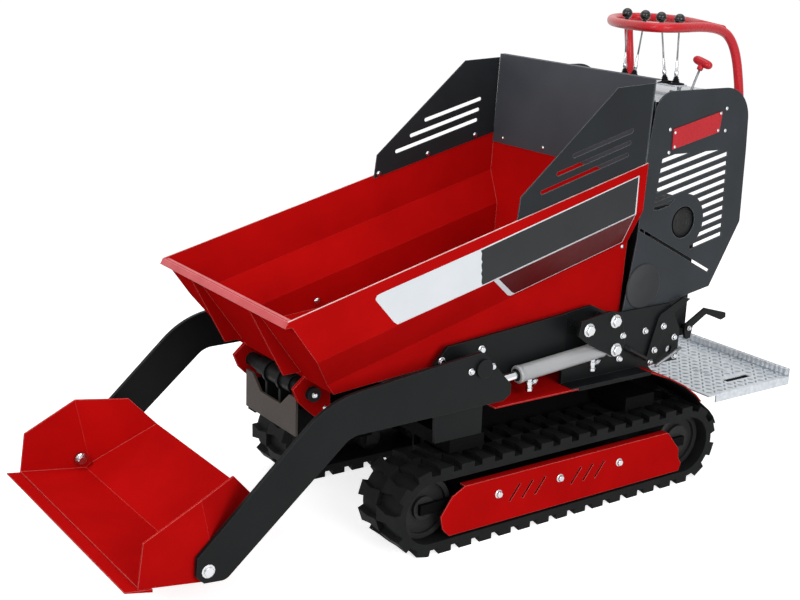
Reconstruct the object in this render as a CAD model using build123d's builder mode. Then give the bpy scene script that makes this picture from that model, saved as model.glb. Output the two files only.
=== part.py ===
"""Tracked mini dumper with a tipping skip and a self-loading front shovel.

Millimetres, +X to the shovel, +Y to the left, +Z up, z = 0 at the tips of the lower track lugs.
"""
import os
from math import cos, hypot, pi, sin

from build123d import *

os.makedirs("parts", exist_ok=True)

SIDES = {"left": 1, "right": -1}

# Fits and clearances
RUN_FIT = 0.05
WHEEL_GAP = 0.4
SHEET = 4.0
PLATE = 10.0

# Rubber tracks: the standard 180 mm wide, 72 mm pitch, 37 link size
TRACK_WIDTH = 180.0
TRACK_PITCH = 72.0
TRACK_LINKS = 37
TRACK_Y = 302.0
TRACK_MID_X = -182.0
WHEEL_BASE = 990.0
LUG_TIP_R = 127.0
LUG_HEIGHT = 17.0
LUG_SINK = 4.0
LUG_PHASE = 47.0
LUG_SPAN = 88.0
LUG_END_LENGTH = 44.0
LUG_WAIST_LENGTH = 26.0
BELT_THICKNESS = 20.0
BELT_R = LUG_TIP_R - LUG_HEIGHT
WHEEL_R = BELT_R - BELT_THICKNESS - WHEEL_GAP
AXLE_Z = LUG_TIP_R
FRONT_AXLE_X = TRACK_MID_X + WHEEL_BASE / 2
REAR_AXLE_X = TRACK_MID_X - WHEEL_BASE / 2
LOOP_R = (TRACK_LINKS * TRACK_PITCH - 2 * WHEEL_BASE) / (2 * pi)

# Undercarriage
TRACK_BEAM_HALF = 60.0
TRACK_BEAM_Z = (118.0, 165.0)
FORK_Z = (112.0, 142.0)
WHEEL_HALF_Y = 48.0
ROLLER_R = 38.0
ROLLER_COUNT = 4
ROLLER_SPACING = 178.0
GUARD_Y = TRACK_Y + TRACK_WIDTH / 2 - 1
GUARD_Z = (45.0, 184.0)
GUARD_FLANGE = 26.0
GUARD_SLOT = (59.0, 7.0)
GUARD_SLOT_TILT = 128.0
GUARD_SLOT_STEP = 47.0
POST_SPACING = 234.0
POST_R = 13.0
POST_Z = 131.0
POST_MID_X = TRACK_MID_X + 32.0

# Chassis
RAIL_Y = (100.0, 140.0)
RAIL_Z = (310.0, 400.0)
RAIL_X = (-640.0, 594.0)
BEAM_Z = (270.0, 310.0)
BEAM_HALF_Y = 345.0
BEAM_XS = {"front": 170.0, "rear": -500.0}
BEAM_LENGTH = 120.0
TIE_XS = (-620.0, 550.0)
TIE_HEIGHT = 30.0
FRONT_PLATE_HALF_Y = 138.0
FRONT_PLATE_Z = (322.0, 432.0)
FRONT_PLATE_T = 8.0
NOTCH_HALF_Y = (102.0, 56.0)
NOTCH_DEPTH = 42.0
WEB_Y = (170.0, 178.0)
WEB_X = (-560.0, 230.0)
WEB_Z = (150.0, 310.0)

# Skip hinge on the front plate
TIP_X = 572.0
TIP_Z = 452.0
TIP_TUBE_R = 20.0
TIP_TUBE_HALF_Y = 186.0
SLEEVE_R = 27.0
SLEEVE_HALF_Y = 90.0
CLEVIS_Y = 32.0
CLEVIS_R = 34.0
EAR_Y = 160.0
EAR_OUTLINE = [
    (592, 505), (630, 472), (614, 434), (590, 410), (562, 384), (530, 384), (512, 405), (516, 512),
]

# Skip: wide upper walls, a band folded inward on each side, and narrower lower walls
SKIP_HALF_Y = 353.0
SKIP_LOW_HALF_Y = 305.0
SKIP_WALL = 4.0
SKIP_LIP = (756.0, 728.0)
SKIP_TOE = (588.0, 495.0)
SKIP_HEEL = (-418.0, 574.0)
SKIP_REAR_TOP = (-438.0, 1034.0)
FOLD_FRONT = (669.0, 609.0)
FOLD_REAR = (-433.0, 895.0)
FOLD_DEPTH = 98.0
LIP_FLANGE = 16.0
RIB_Y = 160.0
SPILL_SHEET = 3.0

# Arms and shovel
ARM_PIVOT = (181.0, 531.0)
ARM_Y = (402.0, 414.0)
ARM_PIN_R = 13.0
ARM_CAP_R = 26.0
BRACKET_Y = (333.0, 345.0)
SIDE_PLATE_X = -172.0
SIDE_PLATE_TOP = 617.0
COVER_REAR_X = -478.0
SHOVEL_PIVOT = (1006.0, 150.0)
SHOVEL_PIN_R = 10.0
SHOVEL_HALF_Y = 397.0
SHOVEL_SHEET = 5.0
SHOVEL_LIP = (1183.0, 141.0)
SHOVEL_HEEL = (988.0, 112.0)
SHOVEL_BACK = (812.0, 255.0)
SHOVEL_BACK_HALF_Y = 284.0

# Lift cylinders
CYL_Y = 376.0
CYL_REAR = (-313.0, 504.0)
CYL_EYE = (119.0, 469.0)
CYL_BARREL_R = 24.0
CYL_BARREL_END = 345.0
CYL_ROD_R = 12.0
CYL_PIN_R = 12.0
CYL_EYE_R = 19.0
REAR_PLATE_Y = (330.0, 340.0)
OUTER_PLATE_Y = (402.0, 410.0)
SPACERS = ((-205.0, 580.0), (-303.0, 591.0))
TIE_DOWN_R = 12.0

# Tip cylinder under the skip
TIP_CYL_REAR = (-60.0, 340.0)
TIP_CYL_EYE = (440.0, 447.0)
TIP_BARREL_R = 30.0
TIP_BARREL_END = 405.0
TIP_ROD_R = 13.0
TIP_EYE_R = 16.0
TIP_PIN_R = 15.0

# Control tower
TOWER_Y = (326.0, 330.0)
CONSOLE_Z = 1205.0
TOWER_HOLE = (-630.0, 836.0)
TOWER_HOLE_R = 49.0
TOWER_SLIT = (-608.0, 750.0)
GRILLE_ROWS = 12
GRILLE_PITCH = 28.0
GRILLE_SLOT = 13.0
GRILLE_TILT = -12.0
GRILLE_X = -660.0
GRILLE_TOP_Z = 1060.0
GRILLE_FIELD = [(-519, 1047), (-796, 1047), (-806, 770), (-672, 742), (-630, 880), (-500, 885)]
LEVER_X = -609.0
LEVER_PLATE_Z = 1243.0
KNOB_Z = 1434.0
LEVERS = ((53.0, 43.0), (92.0, 120.0), (224.0, 186.0), (268.0, 260.0))

# Handle round the levers and the throttle's T-handle
TOWER_REAR_X = -842.0
HANDLE_R = 14.0
HANDLE_BEND = 60.0
HANDLE_NEAR_Y = 300.0
HANDLE_FAR_Y = -172.0
LEG_X = -860.0
LEG_LOW_Z = 1110.0
LEG_BEND_Z = 1195.0
THROTTLE_FOOT = (-658.0, 285.0, 1205.0)
THROTTLE_GRIP = (-697.0, 285.0, 1306.0)
THROTTLE_BAR = (90.0, 24.0)

# Operator's platform
HOOK_SLOT_X = (-1104.0, -988.0)
HOOK_SLOT_WIDTH = 26.0
DECK_SLOT = (5.0, 87.0)
DECK_SLOT_PITCH = (83.0, 150.0)
DECK_SLOT_MID_X = -1071.0
DECK_HINGE = (-765.0, 240.0)
DECK_PIN_R = 10.0
DECK_FRONT_X = -825.0
DECK_REAR_X = -1219.0
DECK_HALF_Y = 335.0
DECK_TOP_Z = 244.0
DECK_BRACKET_T = 6.0
HOOK_Y = 255.0
HOOK_PIVOT = (-778.0, 461.0)


def span(side, inner, outer):
    """The low and high y of a layer that lies between two distances from the middle."""
    return (inner, outer) if side > 0 else (-outer, -inner)


def xz_plane(y):
    """A sketch plane whose x and y are the machine's X and Z, facing -Y."""
    return Plane.XZ.offset(-y)


def side_plate(outline, y_span, rounded=()):
    """A flat plate cut to an outline in X and Z, with (x, z, radius) corners rounded."""
    with BuildPart() as plate:
        with BuildSketch(xz_plane(y_span[1])) as cut:
            Polygon(*outline, align=None)
            for x, z, radius in rounded:
                fillet(cut.vertices().sort_by_distance((x, z))[0], radius)
        extrude(amount=y_span[1] - y_span[0])
    return plate.part


def cross_bar(x, z, radius, y_span):
    """A round bar along Y."""
    with BuildPart() as bar:
        with BuildSketch(xz_plane(y_span[1])):
            with Locations((x, z)):
                Circle(radius)
        extrude(amount=y_span[1] - y_span[0])
    return bar.part


def block(x_span, y_span, z_span):
    """A plain rectangular block between its six faces."""
    with BuildPart() as solid:
        with Locations(Vector(sum(x_span), sum(y_span), sum(z_span)) / 2):
            Box(x_span[1] - x_span[0], y_span[1] - y_span[0], z_span[1] - z_span[0])
    return solid.part


def write(part, name):
    part.label = name
    export_step(part, f"parts/{name}.step")


def loop_plane(s, depth):
    """The plane at distance s along the track's loop, depth below the belt's outside, facing out.

    s starts under the front wheel and runs back along the ground.
    """
    arc = pi * LOOP_R
    s = s % (2 * WHEEL_BASE + 2 * arc)
    r = BELT_R - depth
    if s < WHEEL_BASE:
        centre, angle = FRONT_AXLE_X - s, 0.0
    elif s < WHEEL_BASE + arc:
        centre, angle = REAR_AXLE_X, (s - WHEEL_BASE) / LOOP_R
    elif s < 2 * WHEEL_BASE + arc:
        centre, angle = REAR_AXLE_X + s - WHEEL_BASE - arc, pi
    else:
        centre, angle = FRONT_AXLE_X, pi + (s - 2 * WHEEL_BASE - arc) / LOOP_R
    out = (-sin(angle), 0, -cos(angle))
    return Plane((centre + r * out[0], 0, AXLE_Z + r * out[2]), x_dir=(0, 1, 0), z_dir=out)


def track(side):
    """One rubber track: a smooth belt with two staggered rows of bow-tie lugs."""
    with BuildPart() as belt:
        with BuildSketch(xz_plane(side * TRACK_Y + TRACK_WIDTH / 2)):
            with Locations((TRACK_MID_X, AXLE_Z)):
                SlotCenterToCenter(WHEEL_BASE, 2 * BELT_R)
                SlotCenterToCenter(WHEEL_BASE, 2 * (BELT_R - BELT_THICKNESS), mode=Mode.SUBTRACT)
        extrude(amount=TRACK_WIDTH)
        for row, shift in ((1, 0.0), (-1, TRACK_PITCH / 2)):
            row_y = side * (TRACK_Y + row * (TRACK_WIDTH - LUG_SPAN) / 2)
            for link in range(TRACK_LINKS):
                with BuildSketch(loop_plane(LUG_PHASE + shift + link * TRACK_PITCH, LUG_SINK)):
                    with Locations((row_y, 0)):
                        Polygon(
                            (-LUG_SPAN / 2, -LUG_END_LENGTH / 2),
                            (0, -LUG_WAIST_LENGTH / 2),
                            (LUG_SPAN / 2, -LUG_END_LENGTH / 2),
                            (LUG_SPAN / 2, LUG_END_LENGTH / 2),
                            (0, LUG_WAIST_LENGTH / 2),
                            (-LUG_SPAN / 2, LUG_END_LENGTH / 2),
                            align=None,
                        )
        extrude(amount=LUG_HEIGHT + LUG_SINK)
        with Locations((TRACK_MID_X, side * TRACK_Y, AXLE_Z)):
            Box(2 * WHEEL_BASE, 2 * TRACK_WIDTH, 2 * LUG_TIP_R, mode=Mode.INTERSECT)
    return belt.part


def wheel(side, x, z, radius, half_width, hub_r):
    """A track wheel: two flanged discs on one hub."""
    y = side * TRACK_Y
    with BuildPart() as disc:
        with BuildSketch(xz_plane(y + half_width)):
            with Locations((x, z)):
                Circle(radius)
        extrude(amount=2 * half_width)
        with BuildSketch(xz_plane(y + half_width)):
            with Locations((x, z)):
                Circle(radius - 14)
                Circle(hub_r, mode=Mode.SUBTRACT)
        extrude(amount=12, mode=Mode.SUBTRACT)
        with BuildSketch(xz_plane(y - half_width + 12)):
            with Locations((x, z)):
                Circle(radius - 14)
                Circle(hub_r, mode=Mode.SUBTRACT)
        extrude(amount=12, mode=Mode.SUBTRACT)
    return disc.part


def track_frame(side):
    """The beam inside the track, its wheel forks, its crossbars and its legs up to the chassis beams."""
    beam_y = span(side, TRACK_Y - TRACK_BEAM_HALF, TRACK_Y + TRACK_BEAM_HALF)
    leg_y = span(side, 188.0, 206.0)
    bar_y = span(side, 188.0, TRACK_Y)
    pieces = [block((REAR_AXLE_X + 110, FRONT_AXLE_X - 110), beam_y, TRACK_BEAM_Z)]
    for x in BEAM_XS.values():
        pieces.append(block((x - 45, x + 45), leg_y, (TRACK_BEAM_Z[0], BEAM_Z[0])))
        pieces.append(block((x - 45, x + 45), bar_y, TRACK_BEAM_Z))
    for fork_y in (TRACK_Y - TRACK_BEAM_HALF, TRACK_Y + WHEEL_HALF_Y):
        fork_span = span(side, fork_y, fork_y + TRACK_BEAM_HALF - WHEEL_HALF_Y)
        pieces.append(block((REAR_AXLE_X - 20, REAR_AXLE_X + 110), fork_span, FORK_Z))
        pieces.append(block((FRONT_AXLE_X - 110, FRONT_AXLE_X + 20), fork_span, FORK_Z))
    for step in range(-1, 2):
        post_y = span(side, TRACK_Y + TRACK_BEAM_HALF, GUARD_Y - SHEET)
        pieces.append(cross_bar(POST_MID_X + step * POST_SPACING, POST_Z, POST_R, post_y))
    with BuildPart() as frame:
        add(pieces)
    return frame.part


def roller_row(side):
    """The lower rollers, each between two hanger plates under the track beam."""
    roller_z = AXLE_Z - WHEEL_R + ROLLER_R
    pieces = []
    for index in range(ROLLER_COUNT):
        x = TRACK_MID_X + (index - (ROLLER_COUNT - 1) / 2) * ROLLER_SPACING
        roller_span = span(side, TRACK_Y - WHEEL_HALF_Y, TRACK_Y + WHEEL_HALF_Y)
        pieces.append(cross_bar(x, roller_z, ROLLER_R, roller_span))
        for hanger_y in (TRACK_Y - TRACK_BEAM_HALF, TRACK_Y + WHEEL_HALF_Y):
            hanger_span = span(side, hanger_y, hanger_y + TRACK_BEAM_HALF - WHEEL_HALF_Y)
            pieces.append(block((x - 22, x + 22), hanger_span, (roller_z - 16, TRACK_BEAM_Z[0])))
    with BuildPart() as row:
        add(pieces)
    return row.part


def guard(side):
    """The red folded guard over the rollers, with two groups of three slashed slots."""
    low, high = GUARD_Z
    front, rear = TRACK_MID_X + 434, TRACK_MID_X - 452
    outline = [
        (front, low), (front + 24, low + 25), (front + 32, low + 63), (front - 5, high - 23),
        (front - 49, high), (rear + 44, high), (rear - 10, low + 75), (rear - 12, low + 45),
        (rear - 27, low + 24), (rear - 18, low),
    ]
    face_y = span(side, GUARD_Y - SHEET, GUARD_Y)
    flange_y = span(side, GUARD_Y - GUARD_FLANGE, GUARD_Y)
    with BuildPart() as cover:
        with BuildSketch(xz_plane(face_y[1])):
            Polygon(*outline, align=None)
            for group in (-0.5, 0.5):
                for step in range(-1, 2):
                    slot_x = POST_MID_X + 7 + group * POST_SPACING + step * GUARD_SLOT_STEP
                    with Locations((slot_x, (low + high) / 2 + 10)):
                        Rectangle(*GUARD_SLOT, rotation=GUARD_SLOT_TILT, mode=Mode.SUBTRACT)
        extrude(amount=SHEET)
        add(block((rear + 44, front - 49), flange_y, (high - SHEET, high)))
        add(block((rear - 18, front), flange_y, (low, low + SHEET)))
    return cover.part


def fender(side):
    """The red sheet over the track: level in front, then down behind the track."""
    top = RAIL_Z[1]
    upper = [(115, top), (-490, top), (-572, 368), (-648, 328), (-700, 290), (-724, 266)]
    lower = [(x, z - SHEET) for x, z in reversed(upper)]
    return side_plate(upper + lower, span(side, RAIL_Y[1] + DECK_BRACKET_T, TRACK_Y + TRACK_WIDTH / 2))


def skip_body(inset, raise_top):
    """The skip's outside, or with an inset its inside, as one closed block."""
    (lip_x, lip_z), (rear_x, rear_z) = SKIP_LIP, SKIP_REAR_TOP
    slope = (lip_x - SKIP_TOE[0]) / (lip_z - SKIP_TOE[1])
    lean = (rear_x - SKIP_HEEL[0]) / (rear_z - SKIP_HEEL[1])
    front_top = (lip_x + slope * raise_top, lip_z + raise_top)
    rear_top = (rear_x + lean * raise_top, rear_z + raise_top)
    run, rise = FOLD_REAR[0] - FOLD_FRONT[0], FOLD_REAR[1] - FOLD_FRONT[1]
    up = Vector(rise, 0, -run).normalized()
    with BuildSketch() as profile:
        Polygon(front_top, SKIP_TOE, SKIP_HEEL, rear_top, align=None)
        if inset:
            offset(amount=-inset, kind=Kind.INTERSECTION)
    with BuildPart() as body:
        with BuildSketch(xz_plane(SKIP_HALF_Y - inset)):
            add(profile.sketch)
        extrude(amount=2 * (SKIP_HALF_Y - inset))
        for side in SIDES.values():
            out = Vector(0, side, 0)
            start = Vector(FOLD_FRONT[0], side * SKIP_HALF_Y, FOLD_FRONT[1])
            normal = (out * FOLD_DEPTH - up * (SKIP_HALF_Y - SKIP_LOW_HALF_Y)).normalized()
            split(bisect_by=Plane(start - normal * inset, z_dir=normal), keep=Keep.BOTTOM)
        with BuildSketch(xz_plane(SKIP_LOW_HALF_Y - inset)):
            add(profile.sketch)
        extrude(amount=2 * (SKIP_LOW_HALF_Y - inset))
    return body.part


def cylinder_axis(rear, eye):
    """The plane at a cylinder's rear pin that faces along the rod, for a cylinder at y = 0."""
    return Plane((rear[0], 0, rear[1]), x_dir=(0, 1, 0), z_dir=(eye[0] - rear[0], 0, eye[1] - rear[1]))


def barrel(y, rear, eye, radius, end, rod_r, eye_half, pin_r):
    """A hydraulic barrel: rear eye on its pin, tube, and a gland that the rod slides in."""
    axis = cylinder_axis(rear, eye)
    with BuildPart() as tube:
        with BuildSketch(axis.offset(pin_r + 14)):
            with Locations((y, 0)):
                Circle(radius)
        extrude(amount=end - pin_r - 14)
        with BuildSketch(xz_plane(y + eye_half)):
            with Locations(rear):
                Circle(pin_r + 12)
        extrude(amount=2 * eye_half)
        with BuildSketch(axis.offset(pin_r)):
            with Locations((y, 0)):
                Rectangle(2 * eye_half, 2 * pin_r)
        extrude(amount=20)
        with BuildSketch(xz_plane(y + eye_half)):
            with Locations(rear):
                Circle(pin_r + RUN_FIT)
        extrude(amount=2 * eye_half, mode=Mode.SUBTRACT)
        with BuildSketch(axis.offset(pin_r + 40)):
            with Locations((y, 0)):
                Circle(rod_r + RUN_FIT)
        extrude(amount=end, mode=Mode.SUBTRACT)
    return tube.part


def rod(y, rear, eye, rod_r, eye_r, eye_half, buried):
    """A piston rod with its eye; it starts well inside the barrel."""
    axis = cylinder_axis(rear, eye)
    length = hypot(eye[0] - rear[0], eye[1] - rear[1])
    with BuildPart() as shaft:
        with BuildSketch(axis.offset(buried)):
            with Locations((y, 0)):
                Circle(rod_r)
        extrude(amount=length - buried - eye_r / 2)
        with BuildSketch(xz_plane(y + eye_half)):
            with Locations(eye):
                Circle(eye_r)
        extrude(amount=2 * eye_half)
    return shaft.part


def both(make):
    """One node of two mirrored solids."""
    with BuildPart() as pair:
        for side in SIDES.values():
            add(make(side))
    return pair.part


# Tracks and undercarriage
for name, side in SIDES.items():
    write(track(side), f"track_{name}")
    write(track_frame(side), f"track_frame_{name}")
    write(guard(side), f"guard_{name}")
write(both(fender), "fenders")
write(both(lambda side: wheel(side, FRONT_AXLE_X, AXLE_Z, WHEEL_R, WHEEL_HALF_Y, 34)), "idlers")
write(both(lambda side: wheel(side, REAR_AXLE_X, AXLE_Z, WHEEL_R, WHEEL_HALF_Y, 50)), "sprockets")
write(both(roller_row), "rollers")

# Chassis frame
rails = [block(RAIL_X, span(side, *RAIL_Y), RAIL_Z) for side in SIDES.values()]
beams = []
for beam_x in BEAM_XS.values():
    beam_span = (beam_x - BEAM_LENGTH / 2, beam_x + BEAM_LENGTH / 2)
    beams.append(block(beam_span, (-BEAM_HALF_Y, BEAM_HALF_Y), BEAM_Z))
for tie_x in TIE_XS:
    tie_z = (RAIL_Z[0], RAIL_Z[0] + TIE_HEIGHT)
    beams.append(block((tie_x - 20, tie_x + 20), (-RAIL_Y[0], RAIL_Y[0]), tie_z))
webs = [block(WEB_X, span(side, *WEB_Y), WEB_Z) for side in SIDES.values()]
with BuildPart() as chassis:
    add(rails)
    add(beams)
    add(webs)
    add(cross_bar(*TIP_CYL_REAR, TIP_PIN_R, (-RAIL_Y[0], RAIL_Y[0])))
write(chassis.part, "chassis_frame")

with BuildPart() as front_plate:
    with BuildSketch(Plane.YZ.offset(RAIL_X[1])):
        low, high = FRONT_PLATE_Z
        edge = FRONT_PLATE_HALF_Y
        top, foot = NOTCH_HALF_Y
        notch = [(top, high), (foot, high - NOTCH_DEPTH), (-foot, high - NOTCH_DEPTH), (-top, high)]
        Polygon((-edge, low), (edge, low), (edge, high), *notch, (-edge, high), align=None)
    extrude(amount=FRONT_PLATE_T)
write(front_plate.part, "front_plate")

with BuildPart() as tip_clevis:
    for side in SIDES.values():
        low_y, high_y = span(side, CLEVIS_Y, CLEVIS_Y + PLATE)
        with BuildSketch(xz_plane(high_y)):
            foot_z = RAIL_Z[0] + TIE_HEIGHT
            foot_x = TIP_X - CLEVIS_R + 7
            Polygon((foot_x, foot_z), (RAIL_X[1], foot_z), (RAIL_X[1], TIP_Z), (foot_x, TIP_Z), align=None)
            with Locations((TIP_X, TIP_Z)):
                Circle(CLEVIS_R)
                Circle(SLEEVE_R + RUN_FIT, mode=Mode.SUBTRACT)
        extrude(amount=PLATE)
write(tip_clevis.part, "tip_clevis")
with BuildPart() as tip_tube:
    add(cross_bar(TIP_X, TIP_Z, TIP_TUBE_R, (-TIP_TUBE_HALF_Y, TIP_TUBE_HALF_Y)))
    add(cross_bar(TIP_X, TIP_Z, SLEEVE_R, (-SLEEVE_HALF_Y, SLEEVE_HALF_Y)))
write(tip_tube.part, "tip_tube")


def arm_bracket(side):
    """The side plate that carries an arm's pivot and its pin; a tongue runs back to the rear bracket."""
    x, z = ARM_PIVOT
    top = BEAM_Z[1]
    outline = [
        (x - 60, top), (x - 60, 440), (SIDE_PLATE_X, 470), (SIDE_PLATE_X, SIDE_PLATE_TOP),
        (x + 70, z + 52), (x + 112, z + 10), (x + 100, top),
    ]
    with BuildPart() as bracket:
        add(side_plate(outline, span(side, *BRACKET_Y)))
        add(cross_bar(x, z, ARM_PIN_R, span(side, BRACKET_Y[1], ARM_Y[1] + 2)))
        add(cross_bar(x, z, ARM_CAP_R, span(side, ARM_Y[1] + 2, ARM_Y[1] + 8)))
    return bracket.part


def rear_bracket(side):
    """The inner plate behind the skip, which carries the tower and a cylinder's rear pin."""
    floor = RAIL_Z[1]
    front = SIDE_PLATE_X
    outline = [
        (front, floor), (front, SIDE_PLATE_TOP), (-271, 627), (-327, 601), (-379, 588), (-600, 588),
        (-650, 500), (-650, floor),
    ]
    with BuildPart() as bracket:
        add(side_plate(outline, span(side, *REAR_PLATE_Y)))
        with BuildSketch(xz_plane(span(side, *REAR_PLATE_Y)[1])):
            with Locations((-610, 440)):
                Circle(TIE_DOWN_R)
        extrude(amount=REAR_PLATE_Y[1] - REAR_PLATE_Y[0], mode=Mode.SUBTRACT)
        cover_y = span(side, REAR_PLATE_Y[1], TRACK_Y + TRACK_WIDTH / 2)
        add(block((COVER_REAR_X, front), cover_y, (floor, floor + SHEET)))
        for spacer_x, spacer_z in SPACERS:
            add(cross_bar(spacer_x, spacer_z, CYL_PIN_R, span(side, REAR_PLATE_Y[1], OUTER_PLATE_Y[0])))
        add(cross_bar(*CYL_REAR, CYL_PIN_R, span(side, REAR_PLATE_Y[1], OUTER_PLATE_Y[0])))
    return bracket.part


def outer_bracket(side):
    """The outer cheek plate that covers a cylinder's rear eye."""
    outline = [
        (-162, 568), (-171, 610), (-286, 625), (-326, 615),
        (-348, 518), (-331, 469), (-301, 487), (-214, 531),
    ]
    return side_plate(outline, span(side, *OUTER_PLATE_Y))


def strut(side):
    """The bent flat strut between the tower's rear corner and the rear bracket."""
    outline = [(-648, 602), (-678, 594), (-586, 546), (-548, 420), (-505, 420), (-549, 558)]
    rounds = ((-586, 546, 30), (-549, 558, 30))
    return side_plate(outline, span(side, REAR_PLATE_Y[1], REAR_PLATE_Y[1] + 8), rounds)


write(both(arm_bracket), "arm_brackets")
write(both(rear_bracket), "rear_brackets")
write(both(outer_bracket), "cheek_plates")
write(both(strut), "struts")

# Control tower
TOWER_OUTLINE = [
    (-405, 567), (-442, 800), (-451, 1027), (-479, 1234), (-868, 1234), (-879, 1040), (-885, 815),
    (-774, 618), (-567, 585),
]


def tower_side(side):
    """A side sheet of the tower with its slanted grille, its round hole and the long slit under them."""
    face = xz_plane(span(side, *TOWER_Y)[1])
    rounds = ((-479, 1234, 70), (-868, 1234, 105), (-885, 815, 12))
    with BuildPart() as sheet:
        add(side_plate(TOWER_OUTLINE, span(side, *TOWER_Y), rounds))
        with BuildSketch(face):
            for row in range(GRILLE_ROWS):
                with Locations((GRILLE_X, GRILLE_TOP_Z - row * GRILLE_PITCH)):
                    Rectangle(400, GRILLE_SLOT, rotation=GRILLE_TILT)
            Polygon(*GRILLE_FIELD, align=None, mode=Mode.INTERSECT)
            with Locations(TOWER_HOLE):
                Circle(TOWER_HOLE_R + 38, mode=Mode.SUBTRACT)
                Circle(TOWER_HOLE_R)
            with Locations(TOWER_SLIT):
                Rectangle(355, 9, rotation=27.4)
        extrude(amount=TOWER_Y[1] - TOWER_Y[0], mode=Mode.SUBTRACT)
    return sheet.part


def tower_badge(side):
    """The red cover plate riveted to the tower's side."""
    outline = [(-551, 1122), (-753, 1165), (-747, 1103), (-551, 1062)]
    return side_plate(outline, span(side, TOWER_Y[1], TOWER_Y[1] + 3))


for name, side in SIDES.items():
    write(tower_side(side), f"tower_side_{name}")
write(both(tower_badge), "tower_badges")
inner_y = (-TOWER_Y[0], TOWER_Y[0])
write(block((-476, -472), inner_y, (626, CONSOLE_Z)), "tower_front")
write(block((TOWER_REAR_X, TOWER_REAR_X + SHEET), inner_y, (1090, CONSOLE_Z)), "tower_rear")
write(block((-762, -472), inner_y, (620, 626)), "tower_floor")
write(block((TOWER_REAR_X + SHEET, -472), inner_y, (CONSOLE_Z, CONSOLE_Z + SHEET)), "console")
write(block((-705, -515), (-215, 312), (626, 890)), "engine_block")


def tube(points, bend):
    """A round tube of the handle's size along straight runs with rounded bends."""
    with BuildPart() as run:
        with BuildLine() as route:
            FilletPolyline(*points, radius=bend)
        with BuildSketch(Plane(route.line @ 0, z_dir=route.line % 0)):
            Circle(HANDLE_R)
        sweep()
    return run.part


near_leg = [
    (LEG_X, HANDLE_NEAR_Y, LEG_LOW_Z), (LEG_X, HANDLE_NEAR_Y, LEG_BEND_Z),
    (-818, HANDLE_NEAR_Y, 1350), (-745, HANDLE_NEAR_Y, 1412),
]
loop_corners = [
    (-435, 348, 1415), (-525, 65, 1407), (-745, -165, 1400), (-893, -180, 1400), (-890, 10, 1405),
]
far_leg = [(LEG_X, HANDLE_FAR_Y, LEG_LOW_Z), (LEG_X, HANDLE_FAR_Y, LEG_BEND_Z), (-826, HANDLE_FAR_Y, 1400)]
with BuildPart() as handle:
    add(tube([*near_leg, *loop_corners, (-783, HANDLE_NEAR_Y, 1382)], HANDLE_BEND))
    add(tube(far_leg, HANDLE_BEND))
    for leg_y in (HANDLE_NEAR_Y, HANDLE_FAR_Y):
        for clamp_z in (LEG_LOW_Z + 20, LEG_LOW_Z + 60):
            add(block((LEG_X, TOWER_REAR_X), (leg_y - 22, leg_y + 22), (clamp_z - 10, clamp_z + 10)))
write(handle.part, "handle")

with BuildPart() as levers:
    plate_y = (LEVERS[0][0] - 25, LEVERS[-1][0] + 25)
    add(block((LEVER_X - 30, LEVER_X + 30), plate_y, (LEVER_PLATE_Z - SHEET, LEVER_PLATE_Z)))
    for post_y in (plate_y[0] + 10, plate_y[1] - 10):
        with BuildSketch(Plane.XY.offset(CONSOLE_Z + SHEET)):
            with Locations((LEVER_X, post_y)):
                Circle(6)
        extrude(amount=LEVER_PLATE_Z - CONSOLE_Z - 2 * SHEET)
    for base_y, knob_y in LEVERS:
        foot = Vector(LEVER_X, base_y, LEVER_PLATE_Z)
        knob = Vector(LEVER_X, knob_y, KNOB_Z)
        with BuildSketch(Plane.XY.offset(LEVER_PLATE_Z)):
            with Locations((LEVER_X, base_y)):
                Circle(16)
        extrude(amount=26, taper=20)
        with BuildSketch(Plane(foot + (knob - foot) * 0.05, z_dir=knob - foot)):
            Circle(5)
        extrude(amount=(knob - foot).length * 0.95)
        with BuildSketch(Plane(knob, x_dir=(0, 1, 0), z_dir=(1, 0, 0))):
            Polygon((0, -14), (8, -12), (14, -4), (14, 4), (8, 12), (0, 14), align=None)
        revolve(axis=Axis(knob, (0, 0, 1)))
write(levers.part, "levers")

with BuildPart() as throttle:
    foot, grip = Vector(*THROTTLE_FOOT), Vector(*THROTTLE_GRIP)
    with BuildSketch(Plane(foot, z_dir=grip - foot)):
        Circle(5)
    extrude(amount=(grip - foot).length)
    with BuildSketch(Plane.YZ.offset(grip.X - THROTTLE_BAR[1] / 2)):
        with Locations((grip.Y, grip.Z)):
            SlotOverall(*THROTTLE_BAR)
    extrude(amount=THROTTLE_BAR[1])
    with Locations((foot.X, foot.Y, CONSOLE_Z + SHEET - 20)):
        Box(60, 60, 40, mode=Mode.SUBTRACT)
write(throttle.part, "throttle_handle")

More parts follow.
